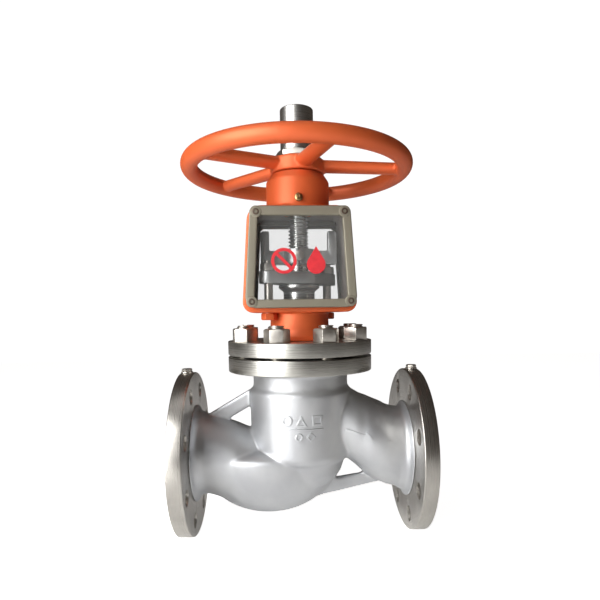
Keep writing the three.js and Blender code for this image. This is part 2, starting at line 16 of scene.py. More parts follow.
import bmesh
import bpy
from mathutils import Matrix, Vector

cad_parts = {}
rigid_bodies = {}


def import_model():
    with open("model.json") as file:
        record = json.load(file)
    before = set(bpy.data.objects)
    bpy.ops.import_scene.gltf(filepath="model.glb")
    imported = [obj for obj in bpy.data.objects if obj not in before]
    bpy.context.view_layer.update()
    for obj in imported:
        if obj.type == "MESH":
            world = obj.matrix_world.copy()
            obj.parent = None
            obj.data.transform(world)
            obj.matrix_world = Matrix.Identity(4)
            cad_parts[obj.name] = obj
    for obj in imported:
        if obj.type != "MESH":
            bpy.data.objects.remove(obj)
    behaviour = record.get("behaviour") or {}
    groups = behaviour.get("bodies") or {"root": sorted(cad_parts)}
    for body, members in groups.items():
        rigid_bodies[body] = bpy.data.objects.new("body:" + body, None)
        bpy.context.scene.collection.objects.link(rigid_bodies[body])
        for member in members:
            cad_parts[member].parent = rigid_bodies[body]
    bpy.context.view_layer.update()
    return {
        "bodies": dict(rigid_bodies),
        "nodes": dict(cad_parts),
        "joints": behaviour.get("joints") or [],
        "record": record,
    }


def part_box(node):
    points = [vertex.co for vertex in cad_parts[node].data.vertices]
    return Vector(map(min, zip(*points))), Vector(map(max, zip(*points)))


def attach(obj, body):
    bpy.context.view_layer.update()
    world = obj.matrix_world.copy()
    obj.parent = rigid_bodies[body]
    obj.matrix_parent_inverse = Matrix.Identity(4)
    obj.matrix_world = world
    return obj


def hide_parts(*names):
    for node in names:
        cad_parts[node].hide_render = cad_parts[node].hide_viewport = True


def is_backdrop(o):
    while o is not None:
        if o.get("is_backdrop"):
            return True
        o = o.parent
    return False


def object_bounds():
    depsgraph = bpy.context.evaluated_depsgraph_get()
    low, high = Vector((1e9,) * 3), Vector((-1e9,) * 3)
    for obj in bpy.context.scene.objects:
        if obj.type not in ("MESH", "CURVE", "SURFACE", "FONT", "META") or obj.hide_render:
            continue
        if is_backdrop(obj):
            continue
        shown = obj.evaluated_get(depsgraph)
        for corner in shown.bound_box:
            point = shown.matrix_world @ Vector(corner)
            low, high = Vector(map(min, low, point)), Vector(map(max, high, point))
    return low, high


MM = 0.001
TINY = 1e-6
FAR_FRONT = -90
BODY = "body"
DRIVE = "drive"
STEM_LINE = "stem_line"

Colour = tuple[float, float, float]
Point = tuple[float, float]
Corner = tuple[float, float, float]

log = logging.getLogger("globe_valve")


class Boolean(Enum):
    """The three ways that two solids are put together."""

    JOIN = "UNION"
    CUT = "DIFFERENCE"
    KEEP = "INTERSECT"


class Marks(Enum):
    """Which way a lathe's fine marks run on a machined face."""

    NONE = "none"
    ROUND_STEM = "round the stem's axis"
    ROUND_PIPE = "round the pipe's axis"


# ---- Finishes ----
@dataclass(frozen=True)
class Finish:
    """One surface finish, as a procedural material.

    Args:
        name: the material's name.
        colour: main colour.
        patch: second colour, which drifts in and out over the surface.
        metallic: 1 for bare metal, 0 for paint and plastic.
        smooth: lowest roughness.
        rough: highest roughness.
        patch_scale: how many colour patches there are to a metre.
        grain_scale: how many grains there are to a metre.
        grain_depth: height of the grain in metres.
        wave_scale: how many slow waves there are to a metre.
        wave_depth: height of the slow waves in metres.
        coat: strength of a clear gloss over the surface.
        alpha: 1 for solid, less for a clear sheet.
        marks: the way that lathe marks run.
    """

    name: str
    colour: Colour
    patch: Colour
    metallic: float = 0.0
    smooth: float = 0.3
    rough: float = 0.45
    patch_scale: float = 30.0
    grain_scale: float = 700.0
    grain_depth: float = 0.00008
    wave_scale: float = 40.0
    wave_depth: float = 0.0002
    coat: float = 0.0
    alpha: float = 1.0
    marks: Marks = Marks.NONE

    def make(self) -> bpy.types.Material:
        """Builds the material, or finds it when it was built before.

        Returns:
            The material.
        """
        found = bpy.data.materials.get(self.name)
        if found:
            return found
        material = bpy.data.materials.new(self.name)
        material.use_nodes = True
        tree = material.node_tree
        shader = tree.nodes["Principled BSDF"]
        shader.inputs["Metallic"].default_value = self.metallic
        shader.inputs["Coat Weight"].default_value = self.coat
        shader.inputs["Coat Roughness"].default_value = 0.16
        shader.inputs["Alpha"].default_value = self.alpha
        place = tree.nodes.new("ShaderNodeTexCoord").outputs["Object"]
        drift = self._noise(tree, place, self.patch_scale, detail=5.0)
        self._ramp(tree, drift, self.colour, self.patch, shader.inputs["Base Color"])
        wave = self._noise(tree, place, self.wave_scale, detail=2.0)
        marked = self.marks is not Marks.NONE
        if marked:
            grain = self._lathe_marks(tree, place)
        else:
            grain = self._noise(tree, place, self.grain_scale, detail=3.0)
        spread = tree.nodes.new("ShaderNodeMapRange")
        spread.inputs["From Min"].default_value = 0.3
        spread.inputs["From Max"].default_value = 0.7
        spread.inputs["To Min"].default_value = self.smooth
        spread.inputs["To Max"].default_value = self.rough
        tree.links.new(grain if marked else drift, spread.inputs["Value"])
        tree.links.new(spread.outputs["Result"], shader.inputs["Roughness"])
        low = self._bump(tree, wave, self.wave_depth, None)
        top = self._bump(tree, grain, self.grain_depth, low)
        tree.links.new(top, shader.inputs["Normal"])
        return material

    def _noise(
        self,
        tree: bpy.types.NodeTree,
        place: bpy.types.NodeSocket,
        scale: float,
        detail: float,
    ) -> bpy.types.NodeSocket:
        """Adds a cloudy pattern.

        Args:
            tree: the material's node tree.
            place: the coordinates that it reads.
            scale: patches to a metre.
            detail: how many finer layers it has.

        Returns:
            The socket that gives 0 to 1.
        """
        noise = tree.nodes.new("ShaderNodeTexNoise")
        noise.inputs["Scale"].default_value = scale
        noise.inputs["Detail"].default_value = detail
        tree.links.new(place, noise.inputs["Vector"])
        return noise.outputs["Fac"]

    def _ramp(
        self,
        tree: bpy.types.NodeTree,
        value: bpy.types.NodeSocket,
        low: Colour,
        high: Colour,
        target: bpy.types.NodeSocket,
    ) -> None:
        """Runs a pattern through two colours into a shader socket.

        Args:
            tree: the material's node tree.
            value: the pattern.
            low: colour where the pattern is low.
            high: colour where the pattern is high.
            target: the socket that takes the colour.
        """
        ramp = tree.nodes.new("ShaderNodeValToRGB")
        ramp.color_ramp.elements[0].position = 0.34
        ramp.color_ramp.elements[1].position = 0.68
        ramp.color_ramp.elements[0].color = (*low, 1.0)
        ramp.color_ramp.elements[1].color = (*high, 1.0)
        tree.links.new(value, ramp.inputs["Fac"])
        tree.links.new(ramp.outputs["Color"], target)

    def _bump(
        self,
        tree: bpy.types.NodeTree,
        height: bpy.types.NodeSocket,
        depth: float,
        under: bpy.types.NodeSocket | None,
    ) -> bpy.types.NodeSocket:
        """Adds one layer of relief.

        Args:
            tree: the material's node tree.
            height: the pattern that gives the height.
            depth: the relief's height in metres.
            under: the relief below this one, if there is any.

        Returns:
            The socket that gives the bent normal.
        """
        bump = tree.nodes.new("ShaderNodeBump")
        bump.inputs["Strength"].default_value = 1.0
        bump.inputs["Distance"].default_value = depth
        tree.links.new(height, bump.inputs["Height"])
        if under is not None:
            tree.links.new(under, bump.inputs["Normal"])
        return bump.outputs["Normal"]

    def _lathe_marks(
        self, tree: bpy.types.NodeTree, place: bpy.types.NodeSocket
    ) -> bpy.types.NodeSocket:
        """Adds fine rings that follow a lathe's cut, on end faces and on rims alike.

        Args:
            tree: the material's node tree.
            place: the object's own coordinates.

        Returns:
            The socket that gives 0 to 1 across the marks.
        """
        parts = tree.nodes.new("ShaderNodeSeparateXYZ")
        flat = tree.nodes.new("ShaderNodeCombineXYZ")
        length = tree.nodes.new("ShaderNodeVectorMath")
        total = tree.nodes.new("ShaderNodeMath")
        lines = tree.nodes.new("ShaderNodeTexNoise")
        length.operation = "LENGTH"
        lines.noise_dimensions = "1D"
        lines.inputs["Scale"].default_value = 1500.0
        lines.inputs["Detail"].default_value = 4.0
        tree.links.new(place, parts.inputs["Vector"])
        axis = "Z" if self.marks is Marks.ROUND_STEM else "X"
        for name in "XYZ":
            if name != axis:
                tree.links.new(parts.outputs[name], flat.inputs[name])
        tree.links.new(flat.outputs["Vector"], length.inputs[0])
        tree.links.new(length.outputs["Value"], total.inputs[0])
        tree.links.new(parts.outputs[axis], total.inputs[1])
        tree.links.new(total.outputs["Value"], lines.inputs["W"])
        return lines.outputs["Fac"]


CAST_STEEL = Finish(
    "bead_blasted_cast_steel",
    (0.52, 0.53, 0.55),
    (0.61, 0.62, 0.63),
    metallic=0.85,
    smooth=0.42,
    rough=0.55,
    patch_scale=22.0,
    grain_scale=1100.0,
    grain_depth=0.00010,
    wave_depth=0.0003,
)
FLANGE_STEEL = Finish(
    "turned_flange_steel",
    (0.46, 0.44, 0.41),
    (0.56, 0.54, 0.50),
    metallic=1.0,
    smooth=0.22,
    rough=0.42,
    grain_depth=0.00003,
    marks=Marks.ROUND_PIPE,
)
JOINT_STEEL = Finish(
    "turned_joint_steel",
    (0.46, 0.45, 0.42),
    (0.56, 0.55, 0.51),
    metallic=1.0,
    smooth=0.22,
    rough=0.42,
    grain_depth=0.00003,
    marks=Marks.ROUND_STEM,
)
STEM_STEEL = Finish(
    "turned_stem_steel",
    (0.50, 0.51, 0.50),
    (0.62, 0.62, 0.60),
    metallic=1.0,
    smooth=0.16,
    rough=0.34,
    grain_depth=0.00001,
    marks=Marks.ROUND_STEM,
)
BRACKET_STEEL = Finish(
    "sawn_bracket_steel",
    (0.44, 0.45, 0.45),
    (0.54, 0.55, 0.55),
    metallic=0.9,
    smooth=0.3,
    rough=0.5,
    grain_scale=900.0,
)
FASTENER_STEEL = Finish(
    "bright_fastener_steel",
    (0.56, 0.53, 0.48),
    (0.66, 0.63, 0.58),
    metallic=1.0,
    smooth=0.30,
    rough=0.42,
    patch_scale=60.0,
    grain_depth=0.00001,
    wave_depth=0.00008,
)
# Dark colour over the whole screw: partly a dark rusty tone, partly painted shade standing in for the
# shaded recess that each head sits in.
SCREW_STEEL = Finish(
    "blackened_screw_steel",
    (0.085, 0.060, 0.045),
    (0.150, 0.115, 0.090),
    metallic=0.7,
    smooth=0.35,
    rough=0.55,
    patch_scale=160.0,
)
CAP_STEEL = Finish(
    "turned_cap_steel",
    (0.50, 0.49, 0.47),
    (0.66, 0.65, 0.62),
    metallic=1.0,
    smooth=0.26,
    rough=0.44,
    patch_scale=60.0,
    grain_depth=0.00002,
    marks=Marks.ROUND_STEM,
)
ORANGE_PAINT = Finish(
    "orange_paint",
    (0.33, 0.053, 0.010),
    (0.26, 0.040, 0.008),
    smooth=0.34,
    rough=0.46,
    patch_scale=18.0,
    grain_scale=420.0,
    grain_depth=0.00009,
    wave_scale=55.0,
    wave_depth=0.0005,
    coat=0.35,
)
GREY_PAINT = Finish(
    "grey_paint",
    (0.205, 0.195, 0.150),
    (0.175, 0.165, 0.128),
    smooth=0.36,
    rough=0.5,
    patch_scale=35.0,
    grain_scale=520.0,
    grain_depth=0.00006,
    coat=0.1,
)
INSIDE_PAINT = Finish(
    "inside_grey_paint",
    (0.25, 0.215, 0.195),
    (0.19, 0.160, 0.145),
    smooth=0.3,
    rough=0.46,
    patch_scale=24.0,
    grain_scale=420.0,
    coat=0.15,
)
BRASS = Finish(
    "satin_brass",
    (0.38, 0.26, 0.12),
    (0.28, 0.18, 0.08),
    metallic=1.0,
    smooth=0.25,
    rough=0.4,
    patch_scale=120.0,
)
GRAPHITE = Finish(
    "pressed_graphite",
    (0.035, 0.035, 0.038),
    (0.065, 0.065, 0.070),
    metallic=0.1,
    smooth=0.55,
    rough=0.75,
    grain_scale=1500.0,
)
CLEAR_SHEET = Finish(
    "clear_plastic_sheet",
    (0.30, 0.32, 0.32),
    (0.36, 0.37, 0.37),
    smooth=0.08,
    rough=0.20,
    patch_scale=16.0,
    grain_depth=0.0,
    wave_scale=14.0,
    wave_depth=0.00005,
    alpha=0.09,
)
RED_MARK = Finish(
    "printed_red_mark",
    (0.66, 0.030, 0.040),
    (0.56, 0.020, 0.030),
    smooth=0.35,
    rough=0.5,
    patch_scale=140.0,
)


# ---- Making meshes ----
def soften(corners: list[Corner], closed: bool = True, steps: int = 5) -> list[Point]:
    """Rounds the corners of an outline or a profile with true arcs.

    Args:
        corners: the corners as (a, b, radius).
        closed: whether the last corner joins the first.
        steps: straight pieces in each rounded corner.

    Returns:
        The points of the rounded line.
    """
    points: list[Point] = []
    count = len(corners)
    for index, (a, b, radius) in enumerate(corners):
        here = Vector((a, b))
        end = not closed and index in (0, count - 1)
        if radius <= 0 or end:
            points.append((a, b))
            continue
        back = Vector(corners[index - 1][:2]) - here
        ahead = Vector(corners[(index + 1) % count][:2]) - here
        turn = back.angle(ahead)
        reach = min(radius / math.tan(turn / 2), back.length * 0.49, ahead.length * 0.49)
        first = here + back.normalized() * reach
        last = here + ahead.normalized() * reach
        weight = math.sin(turn / 2)
        for step in range(steps + 1):
            t = step / steps
            share = ((1 - t) ** 2, 2 * weight * t * (1 - t), t * t)
            point = (first * share[0] + here * share[1] + last * share[2]) / sum(share)
            points.append((point.x, point.y))
    return points


def make_object(name: str, shape: bmesh.types.BMesh) -> bpy.types.Object:
    """Turns a shape in millimetres into an object in metres.

    Args:
        name: the object's name.
        shape: the shape, which is used up.

    Returns:
        The new object, linked to the scene.
    """
    bmesh.ops.remove_doubles(shape, verts=shape.verts, dist=1e-4)
    bmesh.ops.dissolve_degenerate(shape, edges=shape.edges, dist=1e-5)
    bmesh.ops.recalc_face_normals(shape, faces=shape.faces)
    bmesh.ops.scale(shape, vec=(MM, MM, MM), verts=shape.verts)
    mesh = bpy.data.meshes.new(name)
    shape.to_mesh(mesh)
    shape.free()
    made = bpy.data.objects.new(name, mesh)
    bpy.context.scene.collection.objects.link(made)
    return made


def skin(
    shape: bmesh.types.BMesh, rings: list[list[bmesh.types.BMVert]], closed: bool
) -> None:
    """Joins rings of points with four-sided faces.

    Args:
        shape: the shape that holds the points.
        rings: rings of equal length, and a ring of one repeated point is a tip.
        closed: whether the last ring joins the first.
    """
    pairs = list(zip(rings, rings[1:]))
    if closed:
        pairs.append((rings[-1], rings[0]))
    for low, high in pairs:
        for index in range(len(low)):
            after = (index + 1) % len(low)
            around = dict.fromkeys((low[index], low[after], high[after], high[index]))
            if len(around) > 2:
                shape.faces.new(list(around))


def lathe(
    name: str, profile: list[Point], segments: int = 96, closed: bool = False
) -> bpy.types.Object:
    """Turns a profile about the Z axis.

    Args:
        name: the object's name.
        profile: points as (radius, height).
        segments: facets round the axis.
        closed: True for a ring, whose profile joins itself.

    Returns:
        The turned solid.
    """
    shape = bmesh.new()
    rings = []
    for radius, height in profile:
        if radius < TINY:
            rings.append([shape.verts.new((0, 0, height))] * segments)
            continue
        ring = []
        for index in range(segments):
            angle = 2 * math.pi * index / segments
            ring.append(shape.verts.new((radius * math.cos(angle), radius * math.sin(angle), height)))
        rings.append(ring)
    skin(shape, rings, closed)
    return make_object(name, shape)


def rod(name: str, radius: float, low: float, high: float, segments: int = 48) -> bpy.types.Object:
    """Makes a plain round bar along Z, used for cutting holes and joining shapes.

    Args:
        name: the object's name.
        radius: radius of the bar.
        low: height of its foot.
        high: height of its top.
        segments: facets round it.

    Returns:
        The bar.
    """
    return lathe(name, [(0, low), (radius, low), (radius, high), (0, high)], segments)


def washer(
    name: str, inner: float, outer: float, low: float, high: float, edge: float = 0.5
) -> bpy.types.Object:
    """Makes a flat ring about Z with softened edges.

    Args:
        name: the object's name.
        inner: radius of the hole.
        outer: outer radius.
        low: height of its lower face.
        high: height of its upper face.
        edge: radius of its edges.

    Returns:
        The ring.
    """
    corners = [(inner, low, edge), (outer, low, edge), (outer, high, edge), (inner, high, edge)]
    return lathe(name, soften(corners, steps=3), closed=True)


def prism(name: str, outline: list[Point], low: float, high: float) -> bpy.types.Object:
    """Gives an outline in the XY plane thickness along Z.

    Args:
        name: the object's name.
        outline: its points in order.
        low: height of the lower face.
        high: height of the upper face.

    Returns:
        The solid.
    """
    shape = bmesh.new()
    rings = [[shape.verts.new((x, y, z)) for x, y in outline] for z in (low, high)]
    skin(shape, rings, closed=False)
    for ring in rings:
        shape.faces.new(ring)
    return make_object(name, shape)


def moved(obj: bpy.types.Object, matrix: Matrix) -> bpy.types.Object:
    """Moves an object's mesh, in metres, and leaves the object at the origin.

    Args:
        obj: the object.
        matrix: the move.

    Returns:
        The same object.
    """
    obj.data.transform(matrix)
    return obj


def shifted(obj: bpy.types.Object, x: float, y: float, z: float = 0.0) -> bpy.types.Object:
    """Shifts an object by millimetres.

    Args:
        obj: the object.
        x: shift along X.
        y: shift along Y.
        z: shift along Z.

    Returns:
        The same object.
    """
    return moved(obj, Matrix.Translation((x * MM, y * MM, z * MM)))


def turned(obj: bpy.types.Object, degrees: float, axis: str = "Z") -> bpy.types.Object:
    """Turns an object about one of the frame's axes.

    Args:
        obj: the object.
        degrees: the angle.
        axis: X, Y or Z.

    Returns:
        The same object.
    """
    return moved(obj, Matrix.Rotation(math.radians(degrees), 4, axis))


def plate(name: str, outline: list[Point], front: float, back: float) -> bpy.types.Object:
    """Gives an outline in the XZ plane thickness along Y.

    Args:
        name: the object's name.
        outline: its points as (x, z).
        front: y of the front face.
        back: y of the back face.

    Returns:
        The solid.
    """
    return turned(prism(name, outline, -back, -front), 90, "X")


def baked(obj: bpy.types.Object) -> bpy.types.Object:
    """Applies an object's modifiers to its mesh.

    Args:
        obj: the object.

    Returns:
        The same object, with no modifiers.
    """
    bpy.context.view_layer.update()
    graph = bpy.context.evaluated_depsgraph_get()
    mesh = bpy.data.meshes.new_from_object(obj.evaluated_get(graph))
    obj.modifiers.clear()
    old = obj.data
    obj.data = mesh
    bpy.data.meshes.remove(old)
    mesh.name = obj.name
    return obj


def combined(base: bpy.types.Object, how: Boolean, *tools: bpy.types.Object) -> bpy.types.Object:
    """Joins, cuts or trims a solid with others, which are used up.

    Args:
        base: the solid that stays.
        how: what is done.
        tools: the other solids.

    Returns:
        The base.
    """
    for tool in tools:
        modifier = base.modifiers.new("solid", "BOOLEAN")
        modifier.operation = how.value
        modifier.solver = "EXACT"
        modifier.object = tool
        baked(base)
        mesh = tool.data
        bpy.data.objects.remove(tool)
        bpy.data.meshes.remove(mesh)
    return base


def eased(obj: bpy.types.Object, width: float, segments: int = 2) -> bpy.types.Object:
    """Rounds an object's sharp edges.

    Args:
        obj: the object.
        width: width of the rounding.
        segments: facets across it.

    Returns:
        The same object.
    """
    bevel = obj.modifiers.new("edges", "BEVEL")
    bevel.width = width * MM
    bevel.segments = segments
    bevel.limit_method = "ANGLE"
    bevel.angle_limit = math.radians(40)
    bevel.use_clamp_overlap = True
    return baked(obj)


def cast(obj: bpy.types.Object, voxel: float, rounds: int) -> bpy.types.Object:
    """Melts a joined solid into one casting with soft corners and fillets.

    Args:
        obj: the object.
        voxel: size of the grid that it is rebuilt on.
        rounds: how often the surface is smoothed.

    Returns:
        The same object.
    """
    remesh = obj.modifiers.new("casting", "REMESH")
    remesh.mode = "VOXEL"
    remesh.voxel_size = voxel * MM
    smooth = obj.modifiers.new("fillets", "SMOOTH")
    smooth.factor = 0.5
    smooth.iterations = rounds
    return baked(obj)


def shade(obj: bpy.types.Object, degrees: float = 32.0) -> bpy.types.Object:
    """Shades an object smooth, apart from edges sharper than an angle.

    Args:
        obj: the object.
        degrees: the angle.

    Returns:
        The same object.
    """
    obj.data.shade_smooth()
    obj.data.set_sharp_from_angle(angle=math.radians(degrees))
    return obj


def curve_through(stations: list[Corner], per_span: int = 6) -> list[Corner]:
    """Runs a smooth line through stations of (x, z, radius).

    Args:
        stations: the stations.
        per_span: steps between two stations.

    Returns:
        The finer stations.
    """
    knots = [Vector(station) for station in stations]
    padded = [2 * knots[0] - knots[1], *knots, 2 * knots[-1] - knots[-2]]
    line = []
    for index in range(len(knots) - 1):
        a, b, c, d = padded[index : index + 4]
        for step in range(per_span):
            t = step / per_span
            square = (2 * a - 5 * b + 4 * c - d) * t**2
            cube = (3 * b - a - 3 * c + d) * t**3
            line.append(0.5 * (2 * b + (c - a) * t + square + cube))
    line.append(knots[-1])
    return [tuple(point) for point in line]


def bent_pipe(
    name: str, stations: list[Corner], upright: bool = False, segments: int = 72
) -> bpy.types.Object:
    """Makes a round solid along a line in the XZ plane.

    Args:
        name: the object's name.
        stations: points of the line as (x, z, radius).
        upright: whether its rings stand upright, or square to the line.
        segments: facets round it.

    Returns:
        The solid.
    """
    shape = bmesh.new()
    line = curve_through(stations)
    rings = []
    for index, (x, z, radius) in enumerate(line):
        before = line[max(index - 1, 0)]
        after = line[min(index + 1, len(line) - 1)]
        along = Vector((after[0] - before[0], 0, after[1] - before[1])).normalized()
        up = Vector((0, 0, 1)) if upright else Vector((0, -1, 0)).cross(along)
        ring = []
        for step in range(segments):
            angle = 2 * math.pi * step / segments
            spot = Vector((x, 0, z)) + up * (radius * math.cos(angle))
            spot.y += radius * math.sin(angle)
            ring.append(shape.verts.new(spot))
        rings.append(ring)
    skin(shape, rings, closed=False)
    shape.faces.new(rings[0])
    shape.faces.new(rings[-1])
    return make_object(name, shape)


def threaded_rod(
    name: str,
    radius: float,
    pitch: float,
    depth: float,
    low: float,
    high: float,
    left_handed: bool = False,
    rows: int = 8,
) -> bpy.types.Object:
    """Makes a screw thread along Z, with plain round ends.

    Args:
        name: the object's name.
        radius: outer radius.
        pitch: height of one turn.
        depth: depth of the thread.
        low: height of its foot.
        high: height of its top.
        left_handed: whether it climbs to the left.
        rows: rows of points in one turn.

    Returns:
        The thread.
    """
    shape = bmesh.new()
    segments = 40
    crest = [0.0, 0.0, 0.12, 0.88, 1.0, 1.0, 0.88, 0.12][:rows]
    total = int((high - low) / pitch + 2) * rows
    columns = []
    for index in range(segments + 1):
        share = index / segments
        angle = 2 * math.pi * share * (-1 if left_handed else 1)
        column = []
        for row in range(total + 1):
            height = low + pitch * (row / rows + share - 1)
            inside = low < height < high
            reach = radius - depth * (crest[row % rows] if inside else 1.0)
            height = min(max(height, low), high)
            spot = (reach * math.cos(angle), reach * math.sin(angle), height)
            column.append(shape.verts.new(spot))
        columns.append(column)
    foot, top = shape.verts.new((0, 0, low)), shape.verts.new((0, 0, high))
    for left, right in zip(columns, columns[1:]):
        for row in range(total):
            shape.faces.new((left[row], right[row], right[row + 1], left[row + 1]))
        shape.faces.new((foot, right[0], left[0]))
        shape.faces.new((top, left[total], right[total]))
    return make_object(name, shape)


def hexagon(
    name: str, flats: float, low: float, high: float, turn: float = 0.0, both: bool = False
) -> bpy.types.Object:
    """Makes a hexagon nut or bolt head with its corners chamfered by a cone.

    Args:
        name: the object's name.
        flats: width across the flats.
        low: height of its foot.
        high: height of its top.
        turn: angle of one flat from X, in degrees.
        both: whether the foot is chamfered as well as the top.

    Returns:
        The solid.
    """
    corner = flats / math.sqrt(3)
    angles = [math.radians(30 + 60 * index + turn) for index in range(6)]
    block = prism(name, [(corner * math.cos(a), corner * math.sin(a)) for a in angles], low, high)
    wide = corner + 1
    drop = (wide - flats / 2 * 0.96) * math.tan(math.radians(30))
    profile = [(0, high), (flats / 2 * 0.96, high), (wide, high - drop)]
    if both:
        profile += [(wide, low + drop), (flats / 2 * 0.96, low), (0, low)]
    else:
        profile += [(wide, low - 1), (0, low - 1)]
    combined(block, Boolean.KEEP, lathe("cone", profile, 72))
    return eased(block, 0.25)


def around(count: int, radius: float, first: float = 0.0) -> list[Point]:
    """Gives places evenly spaced round the origin.

    Args:
        count: how many.
        radius: distance from the origin.
        first: angle of the first one, in degrees.

    Returns:
        The places as (x, y).
    """
    angles = [math.radians(first + 360 * index / count) for index in range(count)]
    return [(radius * math.cos(angle), radius * math.sin(angle)) for angle in angles]


def finished(
    obj: bpy.types.Object,
    body: str,
    slot: str,
    finish: Finish,
    *nodes: str,
) -> bpy.types.Object:
    """Dresses a piece, makes it ride on its body and hides the CAD nodes that it replaces.

    Args:
        obj: the piece.
        body: the CAD body that it moves with.
        slot: the record's material slot; not used.
        finish: its finish.
        nodes: the CAD nodes that it replaces.

    Returns:
        The same piece.
    """
    obj.data.materials.clear()
    obj.data.materials.append(finish.make())
    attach(obj, body)
    if nodes:
        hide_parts(*nodes)
    log.info("%s: %d faces", obj.name, len(obj.data.polygons))
    return obj


def centre(node: str) -> Vector:
    """Gives the middle of a CAD node's box, in millimetres.

    Args:
        node: the node's name.

    Returns:
        The middle.
    """
    low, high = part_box(node)
    return (low + high) / (2 * MM)


def heights(node: str) -> Point:
    """Gives the lowest and highest z of a CAD node, in millimetres.

    Args:
        node: the node's name.

    Returns:
        The two heights.
    """
    low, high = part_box(node)
    return low.z / MM, high.z / MM


# ---- Studio ----
@dataclass
class Viewpoint:
    """The camera: where it stands, how it is aimed and what its lens frames."""

    place: Colour = (-0.02109, -0.71925, 0.19800)
    yaw: float = 2.892
    pitch: float = -5.539
    roll: float = -0.767
    lens: float = 29.82
    sensor: float = 36.0
    shift: Point = (-0.01777, 0.10509)

    def build(self) -> None:
        """Makes the camera and gives it to the scene."""
        yaw, pitch, roll = (math.radians(angle) for angle in (self.yaw, self.pitch, self.roll))
        forward = Vector(
            (math.sin(yaw) * math.cos(pitch), math.cos(yaw) * math.cos(pitch), math.sin(pitch))
        )
        level = Vector((math.cos(yaw), -math.sin(yaw), 0.0))
        above = level.cross(forward)
        right = level * math.cos(roll) + above * math.sin(roll)
        up = above * math.cos(roll) - level * math.sin(roll)
        data = bpy.data.cameras.new("camera")
        data.lens = self.lens
        data.sensor_width = self.sensor
        data.shift_x, data.shift_y = self.shift
        data.clip_start = 0.01
        camera = bpy.data.objects.new("camera", data)
        bpy.context.scene.collection.objects.link(camera)
        frame = Matrix((right, up, -forward)).transposed().to_4x4()
        camera.matrix_world = Matrix.Translation(self.place) @ frame
        bpy.context.scene.camera = camera


@dataclass
class Lamp:
    """One soft area light, aimed at the middle of the valve."""

    name: str
    place: Colour
    size: Point
    watts: float
    colour: Colour = (1.0, 1.0, 1.0)

    def build(self, aim: Vector) -> None:
        """Makes the light.

        Args:
            aim: the point that it faces.
        """
        data = bpy.data.lights.new(self.name, "AREA")
        data.shape = "RECTANGLE"
        data.size, data.size_y = self.size
        data.energy = self.watts
        data.color = self.colour
        lamp = bpy.data.objects.new(self.name, data)
        bpy.context.scene.collection.objects.link(lamp)
        lamp.location = self.place
        lamp.rotation_euler = (aim - Vector(self.place)).to_track_quat("-Z", "Y").to_euler()


